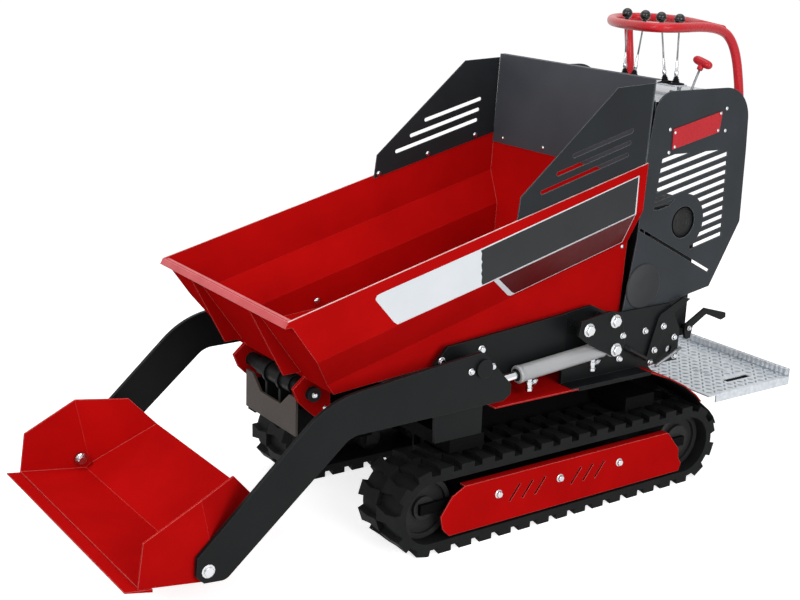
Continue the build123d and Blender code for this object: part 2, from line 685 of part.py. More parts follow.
# Skip
with BuildPart() as skip:
    add(skip_body(0, 0))
    lip_x, lip_z = SKIP_LIP
    with BuildSketch(xz_plane(SKIP_HALF_Y)):
        under = lip_z - LIP_FLANGE
        Polygon((lip_x - 30, lip_z), (lip_x, lip_z), (lip_x + 9, under), (lip_x - 18, under), align=None)
    extrude(amount=2 * SKIP_HALF_Y)
    for side in SIDES.values():
        rib_span = span(side, RIB_Y, RIB_Y + 6)
        rib = [(lip_x - 40, lip_z - LIP_FLANGE), (lip_x + 6, lip_z - LIP_FLANGE), (658, 516), (590, 518)]
        add(side_plate(rib, rib_span))
        ear_span = span(side, EAR_Y, EAR_Y + PLATE)
        with BuildSketch(xz_plane(ear_span[1])):
            Polygon(*EAR_OUTLINE, align=None)
        extrude(amount=PLATE)
        with BuildSketch(xz_plane(ear_span[1])):
            with Locations((TIP_X, TIP_Z)):
                Circle(TIP_TUBE_R + RUN_FIT)
        extrude(amount=PLATE, mode=Mode.SUBTRACT)
        lug_span = span(side, 27.0, 35.0)
        with BuildSketch(xz_plane(lug_span[1])):
            eye_x, eye_z = TIP_CYL_EYE
            lug_foot = [(eye_x + 18, eye_z - 18), (eye_x - 18, eye_z - 18)]
            Polygon((eye_x - 50, 530), (eye_x + 50, 520), *lug_foot, align=None)
        extrude(amount=8)
    add(skip_body(SKIP_WALL, 80), mode=Mode.SUBTRACT)
write(skip.part, "skip_tub")


def wing(side):
    """A dark spill guard on the inside of the skip's side wall, with three slanted slots."""
    outline = [(41, 902), (32, 975), (-298, 1256), (-438, 1263), (-428, 1020)]
    outer = SKIP_HALF_Y - SKIP_WALL
    wing_span = span(side, outer - SPILL_SHEET, outer)
    with BuildPart() as sheet:
        add(side_plate(outline, wing_span))
        with BuildSketch(xz_plane(wing_span[1])):
            for step in range(3):
                with Locations((-197.5 - 30 * step, 1022.5 + 40.3 * step)):
                    SlotOverall(332 - 50 * step, 12, rotation=-14.8)
        extrude(amount=SPILL_SHEET, mode=Mode.SUBTRACT)
    return sheet.part


for name, side in SIDES.items():
    write(wing(side), f"wing_{name}")
rear_lean = (SKIP_REAR_TOP[0] - SKIP_HEEL[0]) / (SKIP_REAR_TOP[1] - SKIP_HEEL[1])


def rear_sheet_x(z, depth):
    """The X of a layer that lies depth in front of the outside of the skip's rear wall."""
    return SKIP_REAR_TOP[0] + rear_lean * (z - SKIP_REAR_TOP[1]) + depth * hypot(1, rear_lean)


SPILL_Z = (989.0, 1274.0)
behind = [(rear_sheet_x(z, SKIP_WALL), z) for z in (SPILL_Z[0], SPILL_Z[1] - SPILL_SHEET)]
front = [(rear_sheet_x(z, SKIP_WALL + SPILL_SHEET), z) for z in SPILL_Z]
flange = [(front[1][0] - 20, SPILL_Z[1]), (front[1][0] - 20, SPILL_Z[1] - SPILL_SHEET)]
spill_half = SKIP_HALF_Y - SKIP_WALL
write(side_plate([behind[0], *front, *flange, behind[1]], (-spill_half, spill_half)), "spill_back")

# Loading arms and shovel
ARM_OUTLINE = [
    (185, 578), (668, 525), (1035, 190), (1038, 140), (1018, 120), (958, 114),
    (601, 419), (105, 425), (81, 441), (81, 470),
]


def arm(side):
    """A flat loading arm with its pivot bore and the boss for the lift cylinder's rod."""
    arm_span = span(side, *ARM_Y)
    rounds = ((668, 525, 260), (601, 419, 70), (958, 114, 30), (1038, 140, 18), (185, 578, 12))
    with BuildPart() as bar:
        add(side_plate(ARM_OUTLINE, arm_span, rounds))
        add(cross_bar(*CYL_EYE, CYL_EYE_R, span(side, ARM_Y[0] - 9, ARM_Y[0])))
        add(cross_bar(*SHOVEL_PIVOT, SHOVEL_PIN_R, span(side, SHOVEL_HALF_Y - 14, ARM_Y[0])))
        add(cross_bar(*SHOVEL_PIVOT, 16, span(side, SHOVEL_HALF_Y - 14, SHOVEL_HALF_Y - SHOVEL_SHEET - 1)))
        with BuildSketch(xz_plane(arm_span[1])):
            with Locations(ARM_PIVOT):
                Circle(ARM_PIN_R + RUN_FIT)
        extrude(amount=ARM_Y[1] - ARM_Y[0], mode=Mode.SUBTRACT)
    return bar.part


for name, side in SIDES.items():
    write(arm(side), f"arm_{name}")


def shovel_block(outline, inset):
    """The shovel's outside or inside: an outline across its width with the rear corners cut off."""
    half = SHOVEL_HALF_Y - inset
    with BuildPart() as body:
        with BuildSketch(xz_plane(half)):
            Polygon(*outline, align=None)
            if inset:
                offset(amount=-inset, kind=Kind.INTERSECTION)
        extrude(amount=2 * half)
        for side in SIDES.values():
            corner = Vector(1015, side * SHOVEL_HALF_Y, 331)
            fold = Vector(975, side * SHOVEL_HALF_Y, 130) - corner
            back = Vector(SHOVEL_BACK[0], side * SHOVEL_BACK_HALF_Y, SHOVEL_BACK[1]) - corner
            normal = fold.cross(back).normalized() * side
            split(bisect_by=Plane(corner - normal * inset, z_dir=normal), keep=Keep.BOTTOM)
    return body.part


def beyond(start, end, length):
    """The point that lies length past the end of a line from start to end."""
    scale = 1 + length / hypot(end[0] - start[0], end[1] - start[1])
    return (start[0] + (end[0] - start[0]) * scale, start[1] + (end[1] - start[1]) * scale)


SHOVEL_OUTSIDE = [SHOVEL_LIP, SHOVEL_HEEL, SHOVEL_BACK, (886, 337), (1015, 331), (1167, 257)]
SHOVEL_INSIDE = [
    beyond(SHOVEL_HEEL, SHOVEL_LIP, 150), SHOVEL_HEEL, beyond(SHOVEL_HEEL, SHOVEL_BACK, 150),
    (700, 450), (1330, 450),
]
with BuildPart() as shovel:
    add(shovel_block(SHOVEL_OUTSIDE, 0))
    add(shovel_block(SHOVEL_INSIDE, SHOVEL_SHEET), mode=Mode.SUBTRACT)
    for side in SIDES.values():
        bore_span = span(side, SHOVEL_HALF_Y - SHOVEL_SHEET, SHOVEL_HALF_Y)
        with BuildSketch(xz_plane(bore_span[1])):
            with Locations(SHOVEL_PIVOT):
                Circle(SHOVEL_PIN_R + RUN_FIT)
        extrude(amount=SHOVEL_SHEET, mode=Mode.SUBTRACT)
write(shovel.part, "shovel")
floor_slope = (SHOVEL_LIP[1] - SHOVEL_HEEL[1]) / (SHOVEL_LIP[0] - SHOVEL_HEEL[0])
lip_tip = (SHOVEL_LIP[0] + 36, SHOVEL_LIP[1] - 0.3 + 36 * floor_slope)
lip_root = (SHOVEL_LIP[0] - 36, SHOVEL_LIP[1] - 0.3 - 36 * floor_slope)
lip_bar = [lip_root, lip_tip, (lip_tip[0], lip_tip[1] - 3), (lip_root[0], lip_root[1] - 8)]
write(side_plate(lip_bar, (-SHOVEL_HALF_Y - 5, SHOVEL_HALF_Y + 5)), "shovel_lip")

# Hydraulic cylinders
LIFT_LINE = (CYL_REAR, CYL_EYE)
TIP_LINE = (TIP_CYL_REAR, TIP_CYL_EYE)
LIFT_TUBE = (CYL_BARREL_R, CYL_BARREL_END, CYL_ROD_R, 20, CYL_PIN_R)
TIP_TUBE = (TIP_BARREL_R, TIP_BARREL_END, TIP_ROD_R, 28, TIP_PIN_R)
write(both(lambda side: barrel(side * CYL_Y, *LIFT_LINE, *LIFT_TUBE)), "lift_barrels")
write(both(lambda side: rod(side * CYL_Y, *LIFT_LINE, CYL_ROD_R, CYL_EYE_R, 13, 110)), "lift_rods")
write(barrel(0, *TIP_LINE, *TIP_TUBE), "tip_barrel")
write(rod(0, *TIP_LINE, TIP_ROD_R, TIP_EYE_R, 20, 90), "tip_rod")

# Operator's platform and its latch
with BuildPart() as deck:
    top = DECK_TOP_Z
    mid_x = (DECK_FRONT_X + DECK_REAR_X) / 2
    with BuildSketch(Plane.XY.offset(top - SHEET)):
        with Locations((mid_x, 0)):
            Rectangle(DECK_FRONT_X - DECK_REAR_X, 2 * DECK_HALF_Y)
        with Locations((sum(HOOK_SLOT_X) / 2, HOOK_Y)):
            Rectangle(HOOK_SLOT_X[1] - HOOK_SLOT_X[0], HOOK_SLOT_WIDTH, mode=Mode.SUBTRACT)
        with Locations((DECK_SLOT_MID_X, 0)):
            with GridLocations(*DECK_SLOT_PITCH, 3, 3):
                Rectangle(*DECK_SLOT, mode=Mode.SUBTRACT)
    extrude(amount=SHEET)
    add(block((DECK_REAR_X, DECK_REAR_X + SHEET), (-DECK_HALF_Y, DECK_HALF_Y), (top, top + 28)))
    for side in SIDES.values():
        add(block((DECK_REAR_X, -860), span(side, DECK_HALF_Y - SHEET, DECK_HALF_Y), (top - 28, top)))
        hinge_x, hinge_z = DECK_HINGE
        ear_outline = [
            (DECK_FRONT_X - 60, top - SHEET), (DECK_FRONT_X - 60, top - 28), (hinge_x, hinge_z - 20),
            (hinge_x + 18, hinge_z), (hinge_x, hinge_z + 16), (DECK_FRONT_X, top - SHEET),
        ]
        ear_span = span(side, 148.0, 158.0)
        add(side_plate(ear_outline, ear_span))
        with BuildSketch(xz_plane(ear_span[1])):
            with Locations(DECK_HINGE):
                Circle(DECK_PIN_R + RUN_FIT)
        extrude(amount=10, mode=Mode.SUBTRACT)
write(deck.part, "platform")


def deck_bracket(side):
    """The arm from a chassis rail down to the platform's hinge pin."""
    x, z = DECK_HINGE
    outline = [
        (-560, RAIL_Z[0]), (-560, RAIL_Z[1]), (-640, RAIL_Z[1]),
        (x - 16, z + 16), (x - 16, z - 16), (x + 16, z - 16),
    ]
    with BuildPart() as bracket:
        add(side_plate(outline, span(side, RAIL_Y[1], RAIL_Y[1] + DECK_BRACKET_T)))
        add(cross_bar(x, z, DECK_PIN_R, span(side, RAIL_Y[1] + DECK_BRACKET_T, 164)))
    return bracket.part


write(both(deck_bracket), "platform_brackets")
HOOK_OUTLINE = [
    (-764, 470), (-852, 516), (-950, 488), (-952, 472), (-930, 466), (-858, 496), (-800, 464),
    (-792, 425), (-772, 425), (-764, 450),
]
with BuildPart() as hook:
    add(side_plate(HOOK_OUTLINE, (HOOK_Y - 5, HOOK_Y + 5)))
    with BuildSketch(xz_plane(HOOK_Y + 5)):
        with Locations(HOOK_PIVOT):
            Circle(8 + RUN_FIT)
    extrude(amount=10, mode=Mode.SUBTRACT)
write(hook.part, "latch_hook")
with BuildPart() as hook_post:
    add(block((-790, -650), (HOOK_Y - 30, HOOK_Y - 20), (430, 620)))
    add(cross_bar(*HOOK_PIVOT, 8, (HOOK_Y - 20, HOOK_Y + 10)))
write(hook_post.part, "latch_post")
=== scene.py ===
# %% [markdown]
# A small tracked dumper is mostly folded sheet steel: a glossy red skip and shovel, black loading arms,
# a dark control tower, rubber tracks and a bare zinc platform. The exact shapes come from the CAD frame.
# This lesson dresses that frame: it gives every surface the look of its real material, adds the small
# parts that the CAD leaves out (bolts, colour bands, fittings, tread), and puts it in a white studio.
# Pieces are measured in millimetres, with X forward, Y to the left and Z up; the studio is in metres.

import bpy
import numpy as np
from mathutils import Matrix, Vector


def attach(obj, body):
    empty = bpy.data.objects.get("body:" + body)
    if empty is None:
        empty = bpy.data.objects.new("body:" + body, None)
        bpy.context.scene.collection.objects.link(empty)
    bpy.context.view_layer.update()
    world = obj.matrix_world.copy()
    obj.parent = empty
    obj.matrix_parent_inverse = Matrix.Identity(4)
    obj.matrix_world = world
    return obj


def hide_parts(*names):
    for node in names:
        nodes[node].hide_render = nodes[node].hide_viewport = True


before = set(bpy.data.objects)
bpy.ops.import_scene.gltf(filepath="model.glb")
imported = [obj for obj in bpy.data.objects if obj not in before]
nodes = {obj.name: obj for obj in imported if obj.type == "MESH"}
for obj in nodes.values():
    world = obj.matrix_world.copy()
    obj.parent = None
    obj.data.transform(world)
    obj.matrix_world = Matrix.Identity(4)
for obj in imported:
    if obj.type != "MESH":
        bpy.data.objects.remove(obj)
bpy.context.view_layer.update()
scene = bpy.context.scene
print("CAD nodes:", len(nodes))

# %% [markdown]
# Two helpers write every material. Colours are given as the hex codes that a paint chart uses, which are
# sRGB, and Blender wants linear light, so one function converts them. The other adds one shader node and
# fills its sockets, each with a plain value or with a link. Materials could also be wired by hand in the
# shader editor; in code each one stays readable, and it comes out the same on every run.

# %% Colour and node helpers
MM = 1000.0  # millimetres in a metre, because Blender's unit is the metre


def rgb(code):
    """The linear colour of an sRGB hex code.

    The display curve in words: a dark channel is divided by 12.92, and any other is shifted by 0.055,
    scaled back to one and raised to the power 2.4.
    """
    srgb = np.array([int(code[i:i + 2], 16) for i in (1, 3, 5)]) / 255
    linear = np.where(srgb <= 0.04045, srgb / 12.92, ((srgb + 0.055) / 1.055) ** 2.4)
    return (*linear.tolist(), 1.0)


def add(tree, kind, sockets=None, **settings):
    """Adds one node to a tree; sockets take a value or a link, settings are the node's own options."""
    node = tree.nodes.new(kind)
    for name, value in settings.items():
        setattr(node, name, value)
    for name, value in (sockets or {}).items():
        if isinstance(value, bpy.types.NodeSocket):
            tree.links.new(value, node.inputs[name])
        else:
            node.inputs[name].default_value = value
    return node


def scale_of(millimetres):
    """The texture scale that makes one pattern cell this many millimetres wide, in object metres."""
    return MM / millimetres


print("mid grey #808080 in linear light:", round(rgb("#808080")[0], 3))

# %% [markdown]
# Most surfaces of a machine share one anatomy: a base colour that drifts a little over a hand's width, a
# fine grain that breaks the highlight, a roughness that is not quite even, and paler edges: partly thin coat,
# partly a painted highlight along the edge. Each could have its own node tree, or a painted texture. One
# recipe for all is shorter, needs no picture file, and lets each material below differ by its numbers alone.
# The edge mask compares the true normal with one that is smoothed over a small radius: they differ only at edges.

# %% The recipe for a finish
# One pixel of the render is about three millimetres, so a grain finer than that is drawn coarser to show.
COARSER = 3.0
# The cosine between the two normals where an edge starts to pale, and where it is fully pale.
EDGE_STARTS, EDGE_FULL = 0.97, 0.80


def finish(name, base, drift, rough, grain_mm, depth_mm, edge, edge_share, metallic=0.0, specular=0.5,
           drift_mm=180.0, edge_mm=1.5):
    """A material: colour follows a broad noise, roughness and bump a fine one, edges take their own colour,
    partly as wear and partly as a painted highlight.

    base and drift are the two ends of the broad noise, rough is (low, high), and edge_share is how much
    of the edge colour shows. grain_mm and drift_mm are pattern sizes, depth_mm is the bump's height and
    edge_mm the width of an edge.
    """
    material = bpy.data.materials.new(name)
    material.use_nodes = True
    tree = material.node_tree
    shader = tree.nodes["Principled BSDF"]
    place = add(tree, "ShaderNodeTexCoord").outputs["Object"]
    broad = add(tree, "ShaderNodeTexNoise", {"Vector": place, "Scale": scale_of(drift_mm), "Detail": 4.0})
    fine = add(tree, "ShaderNodeTexNoise", {"Vector": place, "Scale": scale_of(COARSER * grain_mm),
                                           "Detail": 2.0})
    blend = add(tree, "ShaderNodeMapRange", {"Value": broad.outputs["Fac"], "From Min": 0.35,
                                             "From Max": 0.65})
    body = add(tree, "ShaderNodeMix", {"Factor": blend.outputs["Result"], "A": rgb(base), "B": rgb(drift)},
               data_type="RGBA")
    soft = add(tree, "ShaderNodeBevel", {"Radius": edge_mm / MM}, samples=4)
    true = add(tree, "ShaderNodeNewGeometry")
    turn = add(tree, "ShaderNodeVectorMath", {0: soft.outputs["Normal"], 1: true.outputs["Normal"]},
               operation="DOT_PRODUCT")
    # The edge colour is partly wear of the coat and partly a painted highlight along the edge.
    rim = add(tree, "ShaderNodeMapRange", {"Value": turn.outputs["Value"], "From Min": EDGE_STARTS,
                                           "From Max": EDGE_FULL})
    edge_wear_and_highlight = add(tree, "ShaderNodeMath", {0: rim.outputs["Result"], 1: edge_share}, operation="MULTIPLY")
    colour = add(tree, "ShaderNodeMix", {"Factor": edge_wear_and_highlight.outputs["Value"], "A": body.outputs["Result"],
                                         "B": rgb(edge)}, data_type="RGBA")
    gloss = add(tree, "ShaderNodeMapRange", {"Value": fine.outputs["Fac"], "From Min": 0.3, "From Max": 0.7,
                                             "To Min": rough[0], "To Max": rough[1]})
    bump = add(tree, "ShaderNodeBump", {"Height": fine.outputs["Fac"], "Normal": soft.outputs["Normal"],
                                        "Distance": COARSER * depth_mm / MM, "Strength": 0.6})
    tree.links.new(colour.outputs["Result"], shader.inputs["Base Color"])
    tree.links.new(gloss.outputs["Result"], shader.inputs["Roughness"])
    tree.links.new(bump.outputs["Normal"], shader.inputs["Normal"])
    shader.inputs["Metallic"].default_value = metallic
    shader.inputs["Specular IOR Level"].default_value = specular
    return material


print("a grain of 2 mm is drawn", 2 * COARSER, "mm wide")

# %% [markdown]
# First the painted steel. Baked enamel is smooth and deep, and powder coat is dull with an orange-peel
# grain. A car-paint shader with a clear coat would mirror the studio too sharply for a machine that has
# stood in dust. So there is no clear coat here, and the highlights stay low; the red carries a little painted
# reflection instead, and folds and cut edges pale, partly as wear and partly as a painted highlight.

# %% Painted steel
# Baked red enamel with no highlight of its own: the base red holds a little grey-pink as a painted reflection,
# and it pales on the folds and cut edges, partly wear and partly a painted edge highlight.
enamel = finish("red_enamel", "#BE1010", "#B20E0E", rough=(0.42, 0.54), grain_mm=2.2, depth_mm=0.02,
                edge="#F29A94", edge_share=0.7, specular=0.0, edge_mm=2.4)
# Pale red on the skip's lip: a painted highlight where its front face catches the light.
lip_highlight = finish("painted_highlight_red_enamel", "#CE5256", "#C44247", rough=(0.30, 0.42), grain_mm=3.0, depth_mm=0.03,
                edge="#F6C8C6", edge_share=0.5, drift_mm=70.0)
# Glossy enamel on tubes and cover plates: it takes a real clear highlight, and its red is lighter and pinker as a
# painted sheen.
tube_red = finish("glossy_red_enamel", "#C41C28", "#BA1620", rough=(0.24, 0.34), grain_mm=2.2, depth_mm=0.01,
                  edge="#F0807C", edge_share=0.4, specular=0.3)
# Painted highlight on the skip's top edge: a near-white pink strip where the edge catches the light.
rim_highlight = finish("painted_highlight_rim_edge", "#F4DCDA", "#E2A19C", rough=(0.30, 0.42), grain_mm=2.0, depth_mm=0.03,
                   edge="#FFF2F0", edge_share=0.5, drift_mm=40.0)
# Satin black paint on thick plate: a soft grey sheen along the cut edges.
satin = finish("satin_black_paint", "#0E1011", "#141617", rough=(0.40, 0.52), grain_mm=1.6, depth_mm=0.03,
               edge="#53585B", edge_share=0.6, specular=0.11)
# Anthracite powder coat on thin sheet: dull, cool and slightly grainy.
anthracite = finish("anthracite_powder_coat", "#262A2E", "#2C3035", rough=(0.46, 0.58), grain_mm=1.2,
                    depth_mm=0.05, edge="#8C9399", edge_share=0.8, specular=0.2, edge_mm=2.4)
# The same coat, darker on the wings as painted shade and lighter on the spill board as painted light.
anthracite_shaded = finish("anthracite_painted_shade", "#1D2023", "#222629", rough=(0.46, 0.58), grain_mm=1.2, depth_mm=0.05,
                   edge="#8C9399", edge_share=0.8, specular=0.15, edge_mm=2.4)
anthracite_lit = finish("anthracite_painted_light", "#3F4349", "#464A50", rough=(0.46, 0.58), grain_mm=1.2, depth_mm=0.05,
               edge="#9AA0A6", edge_share=0.8, specular=0.2, edge_mm=2.4)
# Near-black coat on the frames and fender sheets: painted shade for the dark hollow under the body.
shade_black = finish("painted_shade_black", "#060607", "#0A0A0B", rough=(0.65, 0.80), grain_mm=2.5,
                 depth_mm=0.10, edge="#1C1D1E", edge_share=0.4, specular=0.06)
# Warm grey primer on the front plate: flat and a little brown.
primer = finish("grey_primer", "#514B47", "#47423E", rough=(0.50, 0.62), grain_mm=1.4, depth_mm=0.05,
                edge="#A19A93", edge_share=0.5, specular=0.25)
print("paints:", len(bpy.data.materials))

# %% [markdown]
# Then the rubber and the metals. Rubber is nearly black with a dusty bloom, cast iron keeps the grain of
# its sand mould, chrome is a mirror with faint polish marks, and galvanised steel is pale with soft
# clouds. Bare metals could all be fully metallic. Under a white sky that makes grey zinc look like chrome,
# so only chrome and bolt plating are, and the duller ones mix in some plain grey.

# %% Rubber and metals
# Vulcanised rubber: near black, with a grey bloom and no sharp highlight.
rubber = finish("vulcanised_rubber", "#0B0C0D", "#131415", rough=(0.62, 0.80), grain_mm=0.9, depth_mm=0.08,
                edge="#2B2D2F", edge_share=0.5, specular=0.13, drift_mm=60.0)
# Cast iron: dark and coarse from the sand mould.
iron = finish("cast_iron", "#222324", "#2B2A29", rough=(0.55, 0.75), grain_mm=3.0, depth_mm=0.25,
              edge="#55565A", edge_share=0.5, metallic=0.3, specular=0.3)
# Hard chrome on the piston rods: a bright mirror with fine polish marks.
chrome = finish("hard_chrome", "#D8DADC", "#CDD0D3", rough=(0.08, 0.16), grain_mm=0.8, depth_mm=0.004,
                edge="#FFFFFF", edge_share=0.2, metallic=1.0)
# Silver-grey paint on the cylinder barrels: pale and satin.
silver = finish("silver_paint", "#A9ABAC", "#9FA1A3", rough=(0.34, 0.46), grain_mm=2.0, depth_mm=0.03,
                edge="#D0D2D3", edge_share=0.4, metallic=0.2, specular=0.35)
# Galvanised steel: pale grey with soft spangles.
zinc = finish("galvanised_steel", "#DDE2E7", "#C6CDD4", rough=(0.36, 0.52), grain_mm=4.0, depth_mm=0.02,
              edge="#F6F9FB", edge_share=0.6, metallic=0.4, drift_mm=16.0)
# Zinc on the tread's pods, darker grey as painted shade on the pods' sides.
pod_shade_zinc = finish("zinc_painted_shade", "#7F878F", "#959DA4", rough=(0.30, 0.42), grain_mm=2.0, depth_mm=0.02,
                 edge="#C4CAD0", edge_share=0.4, metallic=0.5, drift_mm=16.0)
# Ground steel on the lever rods: grey, with a dull shine.
ground = finish("ground_steel", "#7E8184", "#6F7275", rough=(0.30, 0.42), grain_mm=0.8, depth_mm=0.006,
                edge="#B9BCBF", edge_share=0.4, metallic=0.7)
# Bright zinc on bolts: small sharp glints.
plated = finish("bright_zinc_plate", "#C4C6C8", "#B4B7BA", rough=(0.20, 0.32), grain_mm=1.0, depth_mm=0.01,
                edge="#F4F5F6", edge_share=0.5, metallic=1.0, edge_mm=0.8)
print("paints, rubber and metals:", len(bpy.data.materials))

# %% [markdown]
# Last come the plastic knobs, the console's pale sheet and the printed film of the colour bands. Film could
# be a colour mask in the enamel; as a material of its own it can sit on thin pieces with true edges.

# %% Plastic, console and film
# Black plastic on the lever knobs: smooth with one round highlight.
plastic = finish("black_plastic", "#0B0B0C", "#111213", rough=(0.18, 0.26), grain_mm=1.5, depth_mm=0.01,
                 edge="#2C2E30", edge_share=0.3, specular=0.45)
# Light grey paint on the console's top: clean and satin.
console_grey = finish("light_grey_paint", "#D2D6D9", "#C8CDD1", rough=(0.40, 0.52), grain_mm=1.6, depth_mm=0.03,
                      edge="#E6E8EA", edge_share=0.4, specular=0.3)
# Printed film of the colour bands: even, thin and half glossy.
film_white = finish("white_film", "#E6EAEE", "#DEE3E8", rough=(0.34, 0.44), grain_mm=5.0, depth_mm=0.01,
                    edge="#FFFFFF", edge_share=0.2, specular=0.25)
film_dark = finish("charcoal_film", "#26282A", "#2C2D2F", rough=(0.36, 0.46), grain_mm=5.0, depth_mm=0.01,
                   edge="#3A3B3D", edge_share=0.2, specular=0.2)
film_red = finish("dark_red_film", "#4A0508", "#5E1114", rough=(0.36, 0.46), grain_mm=5.0, depth_mm=0.01,
                  edge="#8A3A3A", edge_share=0.2, specular=0.1, drift_mm=260.0)
print("materials:", len(bpy.data.materials))

# %% [markdown]
# Each CAD node takes the material that its real part is made of. The nodes could be copied and remeshed
# first, but the CAD already has the true shapes, so nothing is moved and no vertex is touched: only the
# material slot is filled.

# %% Dress the CAD nodes
dress = {
    enamel: ["skip_tub", "shovel", "shovel_lip", "guard_left", "guard_right", "fenders"],
    tube_red: ["tower_badges", "handle", "throttle_handle"],
    satin: ["arm_left", "arm_right", "arm_brackets", "rear_brackets", "cheek_plates", "struts", "tip_clevis",
            "tip_tube", "platform_brackets", "latch_post", "latch_hook"],
    # The frames take the near-black coat as painted shade.
    shade_black: ["chassis_frame", "track_frame_left", "track_frame_right"],
    anthracite: ["tower_side_left", "tower_side_right", "tower_front", "tower_rear", "tower_floor"],
    anthracite_shaded: ["wing_left", "wing_right"],
    anthracite_lit: ["spill_back"],
    primer: ["front_plate"],
    rubber: ["track_left", "track_right"],
    iron: ["idlers", "sprockets", "rollers", "engine_block"],
    chrome: ["lift_rods", "tip_rod", "levers"],
    silver: ["lift_barrels", "tip_barrel"],
    zinc: ["platform"],
    console_grey: ["console"],
}
for material, names in dress.items():
    for name in names:
        nodes[name].data.materials.clear()
        nodes[name].data.materials.append(material)
print("dressed:", sum(len(names) for names in dress.values()), "of", len(nodes))

# %% [markdown]
# New pieces are grids of points turned into quads. They could be built from Blender's own primitives and
# operators, but a grid that numpy works out is exact, quick and needs no selection. One function numbers
# the quads of a grid, one makes a mesh that rides on a body, and one gives a single surface its thickness.

# %% Grids and pieces
def quads(rows, cols, wrap):
    """The quads of a rows by cols grid; wrap joins the last column to the first."""
    r, c = np.meshgrid(np.arange(rows - 1), np.arange(cols if wrap else cols - 1), indexing="ij")
    right = (c + 1) % cols
    corners = [r * cols + c, r * cols + right, (r + 1) * cols + right, (r + 1) * cols + c]
    return np.stack(corners, -1).reshape(-1, 4)


def piece(name, shape, material, body, smooth=True):
    """A mesh from points in millimetres and faces; it rides on a CAD body."""
    points, faces = shape
    mesh = bpy.data.meshes.new(name)
    mesh.from_pydata((np.asarray(points, float) / MM).tolist(), [],
                     faces.tolist() if isinstance(faces, np.ndarray) else faces)
    mesh.polygons.foreach_set("use_smooth", np.full(len(mesh.polygons), smooth))
    mesh.materials.append(material)
    made = bpy.data.objects.new(name, mesh)
    scene.collection.objects.link(made)
    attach(made, body)
    return made


def thicken(made, millimetres, offset=-1.0):
    """Gives a single surface its thickness: inwards from its faces, or with no offset to both sides."""
    solid = made.modifiers.new("thickness", "SOLIDIFY")
    solid.thickness = millimetres / MM
    solid.offset = offset
    return made


print("a grid of 3 by 4 points has", len(quads(3, 4, False)), "quads, or", len(quads(3, 4, True)), "round a tube")

# %% [markdown]
# Bolts, knobs and fittings come off a lathe, so they are a profile spun round an axis. Blender's Screw
# modifier or Spin could do that for one piece. This function spins the same profile round many axes in one
# go, so that a whole set of bolts is one mesh, and it can pull a ring in to a hexagon for the spanner.

# %% Turned shapes
def turned(profile, feet, axes, sides=24, hexed=None):
    """Copies of a turned shape: radius and height of each ring are spun round every axis at every foot.

    A ring marked in hexed is pulled in to a hexagon: the radius is divided by the cosine of the angle
    to the nearest flat. A lid closes the first ring and another the last.
    """
    radius, height = np.asarray(profile, float).T
    feet = np.atleast_2d(np.asarray(feet, float))
    axes = np.broadcast_to(np.asarray(axes, float), feet.shape)
    axes = axes / np.linalg.norm(axes, axis=1, keepdims=True)
    helper = np.where(np.abs(axes[:, 2:3]) < 0.9, [[0.0, 0.0, 1.0]], [[1.0, 0.0, 0.0]])
    u = np.cross(helper, axes)
    u /= np.linalg.norm(u, axis=1, keepdims=True)
    v = np.cross(axes, u)
    angle = np.arange(sides) * 2 * np.pi / sides
    flat = np.cos(np.pi / 6) / np.cos(np.mod(angle, np.pi / 3) - np.pi / 6)
    mark = np.zeros(len(radius)) if hexed is None else np.asarray(hexed, float)
    ring = radius[:, None] * (1 + mark[:, None] * (flat - 1)[None, :])
    points = (feet[:, None, None, :]
              + ring[None, :, :, None] * (np.cos(angle)[None, None, :, None] * u[:, None, None, :]
                                          + np.sin(angle)[None, None, :, None] * v[:, None, None, :])
              + height[None, :, None, None] * axes[:, None, None, :])
    size = len(radius) * sides
    starts = size * np.arange(len(feet))[:, None, None]
    walls = (quads(len(radius), sides, True) + starts).reshape(-1, 4)
    ends = np.stack([np.arange(sides)[::-1], np.arange(size - sides, size)])
    lids = (ends + starts).reshape(-1, sides)
    return points.reshape(-1, 3), walls.tolist() + lids.tolist()


print("a turned peg of 2 rings has", len(turned([(1, 0), (1, 5)], [0, 0, 0], [0, 0, 1])[1]), "faces")

# %% [markdown]
# Sheets are ruled between two edges, and rods and tubes are a section carried along a path. A path of
# straight runs gets its corners rounded as a tube bender does. Blender's curve with a bevel would make
# tubes too, but it would have to be turned into a mesh first, and here the section may be any shape.

# %% Ruled, carried and bent shapes
def ruled(lower, upper, rows=2):
    """A surface ruled between two edges: each row is a mix of the lower and the upper edge."""
    lower, upper = np.asarray(lower, float), np.asarray(upper, float)
    share = np.linspace(0, 1, rows)[:, None, None]
    points = lower[None] * (1 - share) + upper[None] * share
    return points.reshape(-1, 3), quads(rows, len(lower), False)


def oval(half_a, half_b, power=2.0, sides=24):
    """A closed section: the superellipse whose two shares, each raised to a power, add up to one."""
    angle = np.arange(sides) * 2 * np.pi / sides
    shares = np.stack([np.cos(angle), np.sin(angle)], -1)
    return np.sign(shares) * np.abs(shares) ** (2 / power) * [half_a, half_b]


def carried(section, path):
    """A section carried along a path and set square to it at each point.

    The section's first axis moves on without twist: each is the last one less its part along the path.
    """
    path, section = np.asarray(path, float), np.asarray(section, float)
    ahead = np.gradient(path, axis=0)
    ahead /= np.linalg.norm(ahead, axis=1, keepdims=True)
    side = np.cross(ahead[0], [0.0, 0.0, 1.0] if abs(ahead[0, 2]) < 0.9 else [1.0, 0.0, 0.0])
    rings = []
    for here, on in zip(path, ahead):
        side = side - on * (side @ on)
        side = side / np.linalg.norm(side)
        rings.append(here + section[:, :1] * side + section[:, 1:] * np.cross(on, side))
    count = len(section)
    faces = quads(len(path), count, True).tolist()
    last = (len(path) - 1) * count
    faces += [list(range(count))[::-1], list(range(last, last + count))]
    return np.concatenate(rings), faces


# A bend takes up at most this share of a run, so that the bends at its two ends never meet.
RUN_SHARE = 0.48


